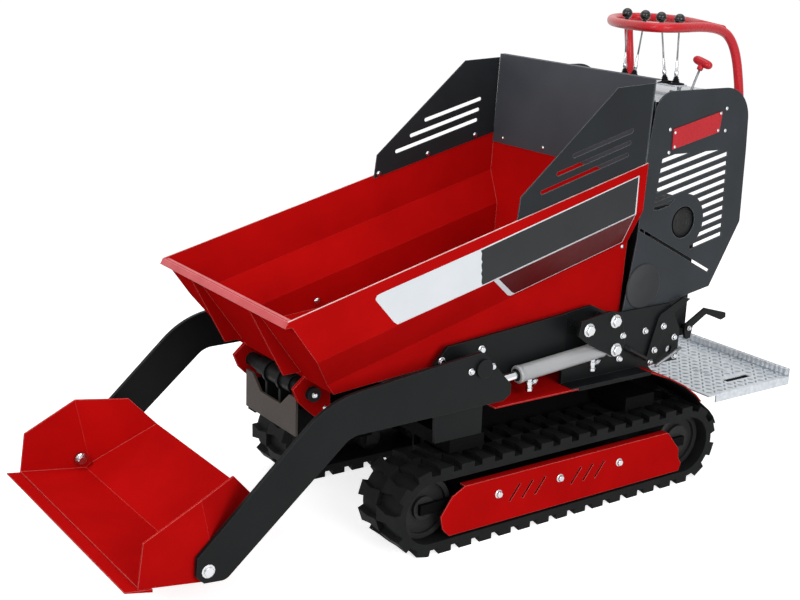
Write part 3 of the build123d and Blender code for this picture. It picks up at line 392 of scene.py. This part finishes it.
def bent(corners, setback, steps=10):
    """A route with parabolic bends: a corner's two neighbours on its runs are mixed through the corner."""
    corners = np.asarray(corners, float)
    share = np.linspace(0, 1, steps)[:, None]
    parts = [corners[:1]]
    for before, here, after in zip(corners, corners[1:], corners[2:]):
        reach = [min(setback, RUN_SHARE * np.linalg.norm(end - here)) for end in (before, after)]
        start = here + (before - here) * reach[0] / np.linalg.norm(before - here)
        finish_at = here + (after - here) * reach[1] / np.linalg.norm(after - here)
        parts.append((1 - share) ** 2 * start + 2 * share * (1 - share) * here + share ** 2 * finish_at)
    return np.concatenate([*parts, corners[-1:]])


print("a path with one bend has", len(bent([(0, 0, 0), (9, 0, 0), (9, 9, 0)], 3)), "points")

# %% [markdown]
# Flange bolts hold the machine together. A flange head is a wide thin washer with a hexagon on it and a
# chamfer on top, so its profile is six rings, two of them pulled in to a hexagon. Rivets and small screws
# are low domes. Each could be placed as a copied object; as one mesh per set they stay few and light.

# %% Bolt and rivet makers
# The head's rings as (radius, height), both in shares of the hexagon's corner radius, and which are hexagons.
FLANGE_HEAD = np.array([(1.30, -0.05), (1.30, 0.10), (1.05, 0.22), (1.0, 0.24), (1.0, 0.80), (0.80, 0.95)])
FLANGE_HEXED = (0, 0, 0, 1, 1, 0)
# A dome stops short of a quarter turn, which leaves a small flat top, and is about half as tall as a ball.
DOME_TURN, DOME_RISE = 1.35, 0.55
HEAD_SIDES = 12


def bolts(name, body, spots, across, outward, tall=1.0):
    """Flange bolts at (x, y, z) spots: the head's rings times the hexagon's corner radius.

    across is the hexagon's size over its flats, and tall stretches the head along its axis.
    """
    r = across / 2 / np.cos(np.pi / 6)
    shape = turned(FLANGE_HEAD * r * [1, tall], spots, outward, HEAD_SIDES, FLANGE_HEXED)
    return piece(name, shape, plated, body, smooth=False)


def rivets(name, body, spots, radius, outward):
    """Round domed heads: the radius falls off as a cosine while the height rises as a sine."""
    turn = np.linspace(0, DOME_TURN, 5)
    rings = np.stack([radius * np.cos(turn), DOME_RISE * radius * np.sin(turn)], -1)
    return piece(name, turned(rings, spots, outward, HEAD_SIDES), plated, body)


def both_sides(spots_xz, y):
    """The same spots on the left and the right, and the directions out of each side."""
    xz = np.asarray(spots_xz, float)
    left = np.stack([xz[:, 0], np.full(len(xz), y), xz[:, 1]], -1)
    return np.concatenate([left, left * [1, -1, 1]]), np.repeat([[0, 1, 0], [0, -1, 0]], len(xz), axis=0)


print("a bolt head has", len(FLANGE_HEAD), "rings of", HEAD_SIDES, "points")

# %% [markdown]
# The spots below are the places of the real fasteners in the side view. Both sides of the machine have the
# same ones, so a table gives the left side, and the right side is its mirror image.

# %% Bolts, nuts and rivets
PLATE_BOLTS = [(-408, 514), (-500, 515), (-401, 442), (-534, 409), (-629, 476), (-636, 414)]
SHOVEL_PIVOT = [(1006, 150)]
# Each set: the body, the (x, z) spots, y of the face they sit on, size over the flats, and the stretch.
BOLT_SETS = {
    "guard_bolts": ("chassis", [(82, 133), (-149, 131), (-386, 130)], 391, 17, 1.0),
    "cheek_nuts": ("chassis", [(-201, 581), (-303, 593), (-313, 505)], 410, 27, 0.75),
    "cheek_screws": ("chassis", [(-335, 544), (-327, 476)], 410, 12, 1.0),
    "bracket_bolts": ("chassis", PLATE_BOLTS, 340, 14, 1.0),
    "strut_bolts": ("chassis", [(-569, 522), (-538, 450)], 348, 14, 1.0),
    "side_plate_bolts": ("chassis", [(272, 546), (136, 558)], 345, 16, 1.0),
    "hinge_bolts": ("chassis", [(572, 452)], 186, 11, 1.0),
    "arm_pivot_bolts": ("arms", [(223, 529), (150, 532)], 414, 13, 1.0),
    "shovel_pivot_bolts": ("arms", SHOVEL_PIVOT, 414, 24, 0.55),
}
for label, (body, xz, y, across, tall) in BOLT_SETS.items():
    spots, outward = both_sides(xz, y)
    bolts(label, body, spots, across, outward, tall)
spots, outward = both_sides(SHOVEL_PIVOT, 383)
bolts("shovel_inner_nuts", "arms", spots, 25, -outward)
bolts("hook_bolt", "chassis", [(-778, 265, 461)], 11, [0, 1, 0])
# Each set: the body, the (x, z) spots, y of the face, the radius, and 1 for outwards or -1 for inwards.
RIVET_SETS = {
    "tower_rivets": ("chassis", [(-538, 1122), (-773, 1172), (-775, 1105), (-541, 1054)], 330, 6, 1),
    "badge_rivets": ("chassis", [(-558, 1112), (-746, 1159), (-740, 1108), (-560, 1070)], 333, 5, 1),
    "wing_bolts": ("skip", [(23, 916), (-164, 966), (-352, 1015)], 346, 9, -1),
    "wall_bolts": ("skip", [(267, 545)], 301, 13, -1),
    "corner_bolts": ("skip", [(-408, 780)], 305, 7, 1),
    "ear_bolts": ("skip", [(530, 404)], 170, 6, 1),
}
for label, (body, xz, y, radius, way) in RIVET_SETS.items():
    spots, outward = both_sides(xz, y)
    rivets(label, body, spots, radius, way * outward)
rivets("spill_rivets", "skip", [(-430, y, 1006) for y in (-300, -100, 100, 300)], 7, [1, 0, 0])
print("fastener sets in pairs:", len(BOLT_SETS) + len(RIVET_SETS) + 1, "and single ones: 2")

# %% [markdown]
# The skip's sides carry printed bands: a white lead-in, a dark panel with a white border and a ragged
# front edge, and a dark red strip on the folded band below. They could be masks in the paint. The film is
# a real thin sheet, though, so each band is one ruled surface a fraction of a millimetre off the steel,
# which keeps its edges sharp at any distance.

# %% The folded band's own frame
SKIP_SIDE_Y = 353.0  # the outside of the skip's upper wall
FOLD_FRONT, FOLD_REAR = np.array([669.0, SKIP_SIDE_Y, 609.0]), np.array([-433.0, SKIP_SIDE_Y, 895.0])
FOLD_IN, FOLD_DROP = 48.0, 98.0  # how far the folded band leans in while it drops
FOLD_RUN = FOLD_REAR - FOLD_FRONT
FOLD_UP = np.array([FOLD_RUN[2], 0, -FOLD_RUN[0]]) / np.hypot(FOLD_RUN[0], FOLD_RUN[2])
FOLD_SLOPE = np.array([0, -FOLD_IN, 0]) - FOLD_DROP * FOLD_UP
FOLD_SLOPE /= np.linalg.norm(FOLD_SLOPE)
FOLD_OUT = np.cross(FOLD_RUN / np.linalg.norm(FOLD_RUN), -FOLD_SLOPE)


def fold_point(x, drop):
    """A point on the folded band: from X = x on the upper fold, drop millimetres down the band's slope."""
    return FOLD_FRONT + FOLD_RUN * (FOLD_FRONT[0] - x) / -FOLD_RUN[0] + FOLD_SLOPE * drop


def wall(*xz):
    """Points on the upper wall's outside."""
    return [(x, SKIP_SIDE_Y, z) for x, z in xz]


print("the fold runs", round(float(np.linalg.norm(FOLD_RUN))), "mm along the skip")

# %% [markdown]
# With the frame of the fold in hand, each band is given by the points of its two long edges. The painted
# highlights on the top edge and on the lip are made in the same way, because there too a thin layer lies on
# the steel. A small lift keeps one layer from flickering through the next.

# %% Colour bands on the skip
FILM = 0.3  # the thickness of a film
OFF_WALL = np.array([0, 0.5, 0])
TEETH = 13  # points along the ragged edge


def band(name, first, second, out, material):
    """A film on both sides of the skip, ruled between two edges and lifted off the steel by a vector."""
    for label, side in (("left", 1), ("right", -1)):
        low = (np.asarray(first, float) + out) * [1, side, 1]
        high = (np.asarray(second, float) + out) * [1, side, 1]
        shape = ruled(low, high) if side > 0 else ruled(high, low)
        thicken(piece(f"{name}_{label}", shape, material, "skip", smooth=False), FILM)


band("lead_band", wall((494, 744), (440, 683), (428, 675), (153, 743), (-405, 888)),
     wall((500, 752), (496, 762), (478, 768), (162, 848), (-405, 1001)), OFF_WALL, film_white)
# The ragged edge leans back as it drops, and a folded line makes four and a half teeth along it.
teeth = np.linspace(0, 1, TEETH)
zigzag = 9 * np.abs(np.mod(4.5 * teeth, 1) - 0.5)
side_y = np.full(TEETH, SKIP_SIDE_Y)
ragged = np.stack([160 - 7 * teeth + zigzag, side_y, 843 - 97 * teeth], -1)
straight = np.stack([-401 + 2 * teeth, side_y, 997 - 108 * teeth], -1)
band("panel_band", ragged, straight, 2 * OFF_WALL, film_dark)
band("strip_border", [fold_point(x, d) for x, d in ((48, 92), (36, 100), (-30, 100), (-380, 100))],
     [fold_point(x, 0.5) for x in (114, 90, 0, -404)], 0.5 * FOLD_OUT, film_white)
band("strip_band", [fold_point(x, d) for x, d in ((34, 87), (22, 97), (-40, 97), (-377, 97))],
     [fold_point(x, 2) for x in (97, 72, 0, -401)], 1.0 * FOLD_OUT, film_red)
# The pale strip along the top edge is a painted highlight.
band("rim_painted_highlight", [(756, 353.4, 728), (-438, 353.4, 1034)], [(756, 348.6, 728), (-438, 348.6, 1034)],
     np.array([0, 0, 0.5]), rim_highlight)
# The lip's pale strip is a painted highlight on the flange's front edge.
LIP_XZ = [(765.3, 712.6), (756.4, 728.5), (740, 728.5)]  # round the flange's front edge
LIP_HALF_Y = 352
lip_points, lip_faces = ruled(*([(x, y, z) for x, z in LIP_XZ] for y in (-LIP_HALF_Y, LIP_HALF_Y)))
lip = piece("lip_painted_highlight", (lip_points, lip_faces[:, ::-1]), lip_highlight, "skip", smooth=False)
thicken(lip, FILM)
print("bands made: 5 on each side, and the lip")

# %% [markdown]
# Four levers stand on a small plate above the console. A lever is a thin bright rod in a rubber boot, with
# a hexagon coupling above the boot and a black ball on top. A boot is a brim with a bellows on it: its
# radius shrinks steadily while a cosine ripples it. All of it is round, so it could be modelled once and
# copied; turning each part at all four feet at once gives one mesh per material.

# %% Levers
LEVER_X = -609
LEVER_FEET = np.array([(LEVER_X, y, 1243) for y in (53, 92, 224, 268)], float)
LEVER_TOPS = np.array([(LEVER_X, y, 1431.5) for y in (43, 120, 186, 260)], float)
lean = LEVER_TOPS - LEVER_FEET
# The profiles below list (radius, height) from the foot up.
BALL_RADIUS = 16
ball_angle = np.linspace(-1.1, 1.4, 14)
ball = np.concatenate([[(3.5, -23), (6, -23), (6.5, -16)],
                       BALL_RADIUS * np.stack([np.cos(ball_angle), np.sin(ball_angle)], -1)])
fold_height = np.linspace(5, 20, 18)
folds = 13 - 6 * fold_height / 20 + 1.5 * np.cos(2 * np.pi * fold_height / 5)
bellows = np.concatenate([[(24, 0), (25, 1), (25, 3), (17, 4.5)], np.stack([folds, fold_height], -1)])
coupling = [(4, 18), (5.5, 18), (5.5, 26), (6.5, 27), (6.5, 38), (4.4, 40), (4.4, 64), (3.2, 68), (2.8, 72)]
coupling_hexed = (0, 0, 0, 1, 1, 0, 0, 0, 0)
stem = [(2.8, 20), (2.8, 100), (2.6, 185)]
post = [(9, 0), (9, 3), (6, 4), (6, 26), (8, 27), (8, 30)]
plate_path = [(LEVER_X, 160.5, 1239), (LEVER_X, 160.5, 1243)]
lever_parts = [
    piece("lever_knobs", turned(ball, LEVER_TOPS, lean), plastic, "chassis"),
    piece("lever_boots", turned(bellows, LEVER_FEET, lean), rubber, "chassis"),
    piece("lever_couplings", turned(coupling, LEVER_FEET, lean, 12, coupling_hexed), plated, "chassis"),
    piece("lever_stems", turned(stem, LEVER_FEET, lean, 12), ground, "chassis"),
    piece("lever_plate", carried(oval(132.5, 30, 9, 48), plate_path), zinc, "chassis",
          smooth=False),
    piece("lever_posts", turned(post, [(LEVER_X, 38, 1209), (LEVER_X, 283, 1209)], [0, 0, 1]), plated, "chassis"),
]
for made in lever_parts:
    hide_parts("levers")
print("levers:", len(LEVER_FEET), "in", len(lever_parts), "meshes")

# %% [markdown]
# The throttle beside them is a bent wire with a moulded red T grip. The wire is a round section carried
# along a bent route. The grip could be a capsule; a radius that stays full and then drops with a high power
# of the length gives the squarer ends of a moulding.

# %% Throttle
wire = bent([(-655, 205, 1213), (-655, 285, 1213), (-668, 285, 1246), (-692, 285, 1296)], 22)
WIRE_RADIUS, GRIP_RADIUS = 3.6, 13
along = np.linspace(-35, 35, 25)
grip = np.stack([GRIP_RADIUS * (1 - np.abs(along / 36.5) ** 5) ** 0.5, along], -1)
neck = [(6, 0), (8.5, 1), (9.5, 6), (8.5, 14), (10, 24)]
throttle_parts = [
    piece("throttle_wire", carried(oval(WIRE_RADIUS, WIRE_RADIUS, 2, 12), wire), ground, "chassis"),
    piece("throttle_grip", turned(grip, [(-697, 285, 1306)], [0, 1, -0.25]), tube_red, "chassis"),
    piece("throttle_neck", turned(neck, [(-685, 285, 1284)], [-12, 0, 22]), tube_red, "chassis"),
]
for made in throttle_parts:
    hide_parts("throttle_handle")
print("throttle pieces:", len(throttle_parts))

# %% [markdown]
# The handle is one red tube bent round the levers, with a second leg on the right and two clamps on each
# leg. The CAD's tube has short bends. A bender leaves long smooth ones, so each corner of the route is cut
# by a parabola that starts and ends a set distance from the corner, and a round section is carried along it.

# %% Handle
TUBE_RADIUS = 14
LOOP = [(-860, 300, 1110), (-860, 300, 1195), (-818, 300, 1350), (-745, 300, 1412), (-435, 348, 1415),
        (-525, 65, 1407), (-745, -165, 1400), (-893, -180, 1400), (-890, 10, 1405), (-750, 300, 1402)]
FAR_LEG = [(-860, -172, 1110), (-860, -172, 1195), (-826, -172, 1400)]
tube = oval(TUBE_RADIUS, TUBE_RADIUS)
handle_parts = [
    piece("handle_loop", carried(tube, bent(LOOP, 130)), tube_red, "chassis"),
    piece("handle_far_leg", carried(tube, bent(FAR_LEG, 60)), tube_red, "chassis"),
]
for side, y in (("near", 300), ("far", -172)):
    for level, z in (("low", 1130), ("high", 1170)):
        clamp = carried(oval(22, 10, 8, 32), [(-868, y, z), (-864, y, z), (-842, y, z)])
        handle_parts.append(piece(f"handle_clamp_{side}_{level}", clamp, tube_red, "chassis",
                                  smooth=False))
for made in handle_parts:
    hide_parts("handle")
print("handle pieces:", len(handle_parts))

# %% [markdown]
# Each lift cylinder ends in a gland ring with a rubber wiper round the rod, and two unions hang under the
# barrel with a side nozzle each. They are lathe parts with hexagons for the spanner, so they are turned
# here too. They ride on the barrels, because the real ones are screwed into them and swing with them.

# %% Hydraulic fittings
PIN_REAR, PIN_FRONT = np.array([-313.0, 376.0, 504.0]), np.array([119.0, 376.0, 469.0])
axis = (PIN_FRONT - PIN_REAR) / np.linalg.norm(PIN_FRONT - PIN_REAR)
down = np.cross([0.0, 1.0, 0.0], axis)


def mirrored(points):
    """The points and their mirror images on the right side."""
    points = np.atleast_2d(np.asarray(points, float))
    return np.concatenate([points, points * [1, -1, 1]])


gland = [(24.1, 0), (25.6, 1.2), (25.6, 11.5), (24.4, 13.6), (18, 14.4)]
wiper = [(18, 0), (18, 2.0), (16, 3.2), (12.3, 3.6)]
union = [(9, 0), (9, 7), (12, 8), (12, 17), (8, 18), (8, 27), (11, 28), (11, 36), (5, 39)]
union_hexed = (0, 0, 1, 1, 0, 0, 1, 1, 0)
nozzle = [(5.5, 0), (5.5, 13), (9, 14), (9, 23), (5.5, 24), (4, 31)]
nozzle_hexed = (0, 0, 1, 1, 0, 0)
# Distances from the rear pin along the barrel, and the barrel's underside below its axis.
GLAND_AT, WIPER_AT, UNIONS_AT, BARREL_UNDER = 331, 345, (300, 61), 22
glands, wipers = mirrored(PIN_REAR + axis * GLAND_AT), mirrored(PIN_REAR + axis * WIPER_AT)
unions = mirrored([PIN_REAR + axis * d + down * BARREL_UNDER for d in UNIONS_AT])
nozzle_way = 0.3 * np.array([0, 0, 1]) - axis
piece("gland_rings", turned(gland, glands, axis, 32), silver, "lift_barrels")
piece("rod_wipers", turned(wiper, wipers, axis, 32), rubber, "lift_barrels")
piece("hose_unions", turned(union, unions, down, 12, union_hexed), plated, "lift_barrels",
      smooth=False)
piece("union_nozzles", turned(nozzle, unions + down * 20, nozzle_way, 12, nozzle_hexed), plated, "lift_barrels",
      smooth=False)
print("unions:", len(unions))

# %% [markdown]
# Two slim stays cross behind the cylinder on each side, each with a thicker nut near its upper end. A stay
# is straight, so one turned profile from end to end is simpler than a carried section.

# %% Stays
STAYS = {"front_stays": ((-398, 356, 486), (-500, 356, 430), 7.0, satin),
         "rear_stays": ((-648, 356, 444), (-540, 356, 400), 5.0, ground)}
for label, (start, end, r, look) in STAYS.items():
    reach = np.subtract(end, start)
    long = np.linalg.norm(reach)
    profile = [(0.5 * r, 0), (r, 3), (r, 18), (1.25 * r, 20), (1.25 * r, 28), (r, 30), (r, long - 4),
               (0.5 * r, long)]
    piece(label, turned(profile, mirrored(start), mirrored(reach)), look, "chassis")
    print(label, round(float(long)), "mm long")

# %% [markdown]
# The engine's starter cover shows through the tower's round hole, and its cowl, pressed into ridges, shows
# from behind. The ridges could be a bump in the material, but a bump has no outline and no real shadow.
# So both are geometry: rings that a cosine ripples, and a sheet that a cosine swells.

# %% Starter cover and cowl
COVER_RADIUS = 46
inward = np.linspace(0, 1, 15)
cover_rise = 4 + 4 * np.sin(np.pi * inward) + 1.5 * np.cos(10 * np.pi * inward)
cover = np.concatenate([[(COVER_RADIUS, 0)], np.stack([COVER_RADIUS - 40 * inward, cover_rise], -1)])
piece("starter_cover", turned(cover, [(-648, 312, 831)], [0, 1, 0], 32), iron, "chassis")
COWL_X, COWL_FOOT, COWL_TOP, RIDGE_PITCH = -705.4, 644, 872, 19
cowl_z = np.linspace(COWL_FOOT, COWL_TOP, 153)
swell = COWL_X - 2.5 * (1 - np.cos(2 * np.pi * (cowl_z - COWL_FOOT) / RIDGE_PITCH))
cowl_right, cowl_left = (np.stack([swell, np.full(len(cowl_z), y), cowl_z], -1) for y in (-200.0, 297.0))
thicken(piece("cowl_ridges", ruled(cowl_right, cowl_left), iron, "chassis"), 0.3)
rivets("cowl_bolts", "chassis", [(-705, y, z) for y in (-207, 304) for z in (636, 758, 880)], 6, [-1, 0, 0])
print("cowl ridges:", (COWL_TOP - COWL_FOOT) // RIDGE_PITCH)

# %% [markdown]
# Dark sheets close the view into the machine: an apron under the tower's front, as on the real one, and under
# each fender a liner, an inner wall and a rubber flap that follows the track down; a rubber trim darkens each
# fender's near edge. The liner, the wall, the flap and the trim are painted shade, dark pieces where that hollow
# lies in shadow. A box could block the view as well, but sheets leave the hollow that the shadows need. They are
# ruled between two edges and thickened. A plain round plate sits low on each side of the tower; it is turned.

# %% Dark sheets
def sheet(name, first, second, thick, material):
    """A sheet of the chassis, ruled between two edges and thickened to both sides."""
    return thicken(piece(name, ruled(first, second), material, "chassis", smooth=False), thick, 0.0)


def across_at(xz, y):
    """A profile in the side view, set at one place across the machine."""
    return np.stack([xz[:, 0], np.full(len(xz), y), xz[:, 1]], -1)


sheet("tower_apron", [(-474, 322, 550), (-474, -322, 550)], [(-474, 322, 621), (-474, -322, 621)], 3, satin)
UNDER = np.array([(-500, 391), (-572, 361), (-648, 321), (-700, 283), (-722, 260)], float)
WALL_TOP = np.concatenate([UNDER, [(-746, 248), (-772, 230)]])
WALL_FOOT = WALL_TOP * [1, 0] + [0, 214]
FLAP = np.array([(-722, 261), (-746, 242), (-770, 223), (-792, 199), (-806, 174)], float)
TRIM = np.array([(-195, 397), (-340, 397), (-489, 397)], float)
for label, side in (("left", 1), ("right", -1)):
    # The liner, the wall, the flap and the trim are painted shade.
    sheet(f"fender_shade_liner_{label}", across_at(UNDER, side * 178), across_at(UNDER, side * 389), 2, shade_black)
    sheet(f"fender_shade_wall_{label}", across_at(WALL_FOOT, side * 205), across_at(WALL_TOP, side * 205), 3, shade_black)
    sheet(f"shade_flap_{label}", across_at(FLAP, side * 213), across_at(FLAP, side * 388), 3, rubber)
    trim = carried(oval(1.6, 5.2, 6, 16), across_at(TRIM, side * 391))
    piece(f"shade_trim_{label}", trim, rubber, "chassis", smooth=False)
spots, outward = both_sides([(-484, 655)], 330)
disc = [(70, 0), (70, 1.6), (68, 2.4), (64, 2.4), (63, 1.8), (10, 1.8)]
piece("blank_discs", turned(disc, spots, outward, 48), film_dark, "chassis")
print("dark sheets: one apron, and three sheets, a trim and a disc on each side")

# %% [markdown]
# The platform is chequer plate, so that boots don't slip. Its tread is a field of lens-shaped pods that
# lean left and right in turn; a pod is three rings of eight points that shrink as they rise. An array
# modifier could repeat a pod, but pods that would hang over a slot have to be left out, and that is one
# comparison on the array of their centres.

# %% Tread of the platform
DECK_TOP, PITCH = 244.0, 25.0
POD_SIDES, POD_HALF_LONG, POD_HALF_WIDE, SLOT_MARGIN = 8, 10.5, 3.6, 8
POD_SHRINK, POD_RISE = np.array([1.0, 0.8, 0.35]), np.array([-0.2, 1.4, 2.2])
COLLAR_AT = (-1046, 255)
col, row = np.meshgrid(np.arange(15), np.arange(26), indexing="ij")
centre = np.stack([-1201 + PITCH * col, -312.5 + PITCH * row], -1).reshape(-1, 2)
tilt = np.where((col + row) % 2 == 0, 1, -1).ravel() * np.pi / 4
# The deck's slots as centre and half sizes: nine narrow ones, and the wide one for the latch hook.
slots = [(-1071 + 83 * i, 150 * j, 5 / 2, 87 / 2) for i in (-1, 0, 1) for j in (-1, 0, 1)]
slots.append((*COLLAR_AT, 116 / 2, 26 / 2))
clear = np.ones(len(centre), bool)
for x, y, half_x, half_y in slots:
    clear &= ((np.abs(centre[:, 0] - x) > half_x + SLOT_MARGIN)
              | (np.abs(centre[:, 1] - y) > half_y + SLOT_MARGIN))
centre, tilt = centre[clear], tilt[clear]
angle = np.arange(POD_SIDES) * 2 * np.pi / POD_SIDES
outline = np.stack([POD_HALF_LONG * np.cos(angle), POD_HALF_WIDE * np.sin(angle)], -1)
long_part, wide_part = np.moveaxis(POD_SHRINK[:, None, None] * outline, -1, 0)
cosine, sine = np.cos(tilt)[:, None, None], np.sin(tilt)[:, None, None]
pod_x = long_part * cosine - wide_part * sine + centre[:, 0, None, None]
pod_y = long_part * sine + wide_part * cosine + centre[:, 1, None, None]
pods = np.stack([pod_x, pod_y, np.broadcast_to(DECK_TOP + POD_RISE[:, None], pod_x.shape)], -1)
pod_size = len(POD_RISE) * POD_SIDES
starts = pod_size * np.arange(len(centre))[:, None]
pod_faces = (quads(len(POD_RISE), POD_SIDES, True) + starts[:, :, None]).reshape(-1, 4).tolist()
pod_faces += (np.arange(pod_size - POD_SIDES, pod_size) + starts).tolist()
pod_faces += (np.arange(POD_SIDES)[::-1] + starts).tolist()
# The pods take the darker zinc: painted shade.
piece("deck_tread", (pods.reshape(-1, 3), pod_faces), pod_shade_zinc, "platform")
print("tread pods:", len(centre))

# %% [markdown]
# The kick plate behind the deck is pressed into upright ridges, a cosine along its length that fades towards
# the top. A rubber collar lines the slot that the latch hook enters when the platform is folded up. A solid
# block would be quicker to make, but the hook would cut through it, so the collar is a hollow ring.

# %% Kick plate and collar
KICK_X, KICK_HALF_Y, KICK_STEPS, KICK_PITCH = -1215, 331, 331, 20
kick_y = np.linspace(-KICK_HALF_Y, KICK_HALF_Y, KICK_STEPS)
ridge = 0.4 + 2.6 * (1 + np.cos(2 * np.pi * kick_y / KICK_PITCH))
foot_edge = np.stack([KICK_X + ridge, kick_y, np.full(KICK_STEPS, 244.5)], -1)
top_edge = np.stack([KICK_X + 0.3 * ridge, kick_y, np.full(KICK_STEPS, 271.5)], -1)
thicken(piece("kick_ridges", ruled(foot_edge, top_edge, 6), zinc, "platform"), 0.3)
COLLAR_SIDES = 40
collar = oval(59.0, 14.0, 8, COLLAR_SIDES) + COLLAR_AT
collar = np.concatenate([np.column_stack([collar, np.full(COLLAR_SIDES, z)]) for z in (227.0, 240.4)])
thicken(piece("slot_collar", (collar, quads(2, COLLAR_SIDES, True)), rubber, "platform", smooth=False),
        1.2, 1.0)
print("kick plate ridges:", 2 * KICK_HALF_Y // KICK_PITCH)

# %% [markdown]
# The studio is a wide pale floor under a soft white sky. A bright lamp on a white floor would clip the paint
# before the floor turns white. So the camera, and mirrors too, see floor and sky as white, while what they
# throw on the machine is plainer: the paint keeps its own colour and the floor its shadow.

# %% Floor
def seen_white(tree):
    """One for rays that look at the studio (camera, mirror or glass), nought for rays that gather light."""
    path = add(tree, "ShaderNodeLightPath")
    mirror = add(tree, "ShaderNodeMath", {0: path.outputs["Is Camera Ray"], 1: path.outputs["Is Glossy Ray"]},
                 operation="MAXIMUM")
    return add(tree, "ShaderNodeMath", {0: mirror.outputs["Value"], 1: path.outputs["Is Transmission Ray"]},
               operation="MAXIMUM").outputs["Value"]


FLOOR_HALF = 60
FLOOR_GLOW = 0.70  # the share of white that the floor adds for rays that look at it
floor_mesh = bpy.data.meshes.new("studio_floor")
floor_points, floor_faces = ruled(*([(x, y, 0) for x in (-FLOOR_HALF, FLOOR_HALF)]
                                    for y in (-FLOOR_HALF, FLOOR_HALF)))
floor_mesh.from_pydata(floor_points.tolist(), [], floor_faces.tolist())
floor = bpy.data.objects.new("studio_floor", floor_mesh)
scene.collection.objects.link(floor)
# White paper, matt and faintly fibrous: it shows nearly white and gathers a soft shadow.
paper = bpy.data.materials.new("white_paper_floor")
paper.use_nodes = True
tree = paper.node_tree
tree.nodes.remove(tree.nodes["Principled BSDF"])
looks = seen_white(tree)
place = add(tree, "ShaderNodeTexCoord").outputs["Object"]
fibre = add(tree, "ShaderNodeTexNoise", {"Vector": place, "Scale": scale_of(40)})
tone = add(tree, "ShaderNodeMix", {"Factor": fibre.outputs["Fac"], "A": rgb("#EDEDED"), "B": rgb("#F1F1F1")},
           data_type="RGBA")
plain = add(tree, "ShaderNodeMix", {"Factor": looks, "A": rgb("#A8A8A8"), "B": tone.outputs["Result"]},
            data_type="RGBA")
matte = add(tree, "ShaderNodeBsdfDiffuse", {"Color": plain.outputs["Result"]})
level = add(tree, "ShaderNodeMath", {0: looks, 1: FLOOR_GLOW}, operation="MULTIPLY")
glow = add(tree, "ShaderNodeEmission", {"Color": rgb("#FFFFFF"), "Strength": level.outputs["Value"]})
both = add(tree, "ShaderNodeAddShader", {0: matte.outputs["BSDF"], 1: glow.outputs["Emission"]})
tree.links.new(both.outputs["Shader"], tree.nodes["Material Output"].inputs["Surface"])
floor_mesh.materials.append(paper)
print("floor:", 2 * FLOOR_HALF, "m wide")

# %% [markdown]
# A product shot has a few large softboxes and a pale room. One lamp would leave hard shadows, and a sky
# alone would leave none. So the sky fills at a low strength, and three area lamps shape the machine: from
# the near side, from above and from the front.

# %% Sky and lamps
SKY_FILL, SKY_SEEN = 0.38, 1.0
sky = bpy.data.worlds.new("studio_sky")
scene.world = sky
sky.use_nodes = True
tree = sky.node_tree
power = add(tree, "ShaderNodeMix", {"Factor": seen_white(tree), "A": SKY_FILL, "B": SKY_SEEN})
tree.links.new(power.outputs["Result"], tree.nodes["Background"].inputs["Strength"])
tree.nodes["Background"].inputs["Color"].default_value = rgb("#FFFFFF")

LAMP_AIM = Vector((0, 0, 0.5))
# Each lamp: its place and its width in metres, and its power in watts.
LAMPS = {"key_softbox": ((0.5, 4.6, 2.1), 2.6, 118), "top_softbox": ((-0.3, 0.2, 4.6), 3.6, 70),
         "front_softbox": ((4.4, 0.8, 2.8), 2.4, 92)}
for label, (spot, size, watts) in LAMPS.items():
    lamp = bpy.data.lights.new(label, "AREA")
    lamp.size = size
    lamp.energy = watts
    holder = bpy.data.objects.new(label, lamp)
    holder.location = spot
    holder.rotation_euler = (LAMP_AIM - Vector(spot)).to_track_quat("-Z", "Y").to_euler()
    scene.collection.objects.link(holder)
print("lamps:", list(LAMPS))

# %% [markdown]
# The camera has the photograph's place, tilt and lens. They could be found by eye, with many tries. Here they
# were worked out by least squares from the lugs of the tracks, whose pitch is a known size, so the numbers
# below are that result: three axes of the camera, its place in metres, and its focal length.

# %% Camera
CAMERA_RIGHT = Vector((-0.81886, 0.57279, 0.03719))
CAMERA_UP = Vector((-0.13006, -0.24827, 0.95992))
CAMERA_BACK = Vector((0.55907, 0.78120, 0.27779))
CAMERA_PLACE = (2.35191, 3.04801, 1.69876)
optics = bpy.data.cameras.new("studio_camera")
optics.lens = 60.168
optics.sensor_width = 36.0
camera = bpy.data.objects.new("studio_camera", optics)
camera.matrix_world = (Matrix.Translation(CAMERA_PLACE)
                       @ Matrix((CAMERA_RIGHT, CAMERA_UP, CAMERA_BACK)).transposed().to_4x4())
scene.collection.objects.link(camera)
scene.camera = camera
scene.view_settings.view_transform = "Standard"
print("camera at", [round(v, 3) for v in camera.matrix_world.translation])
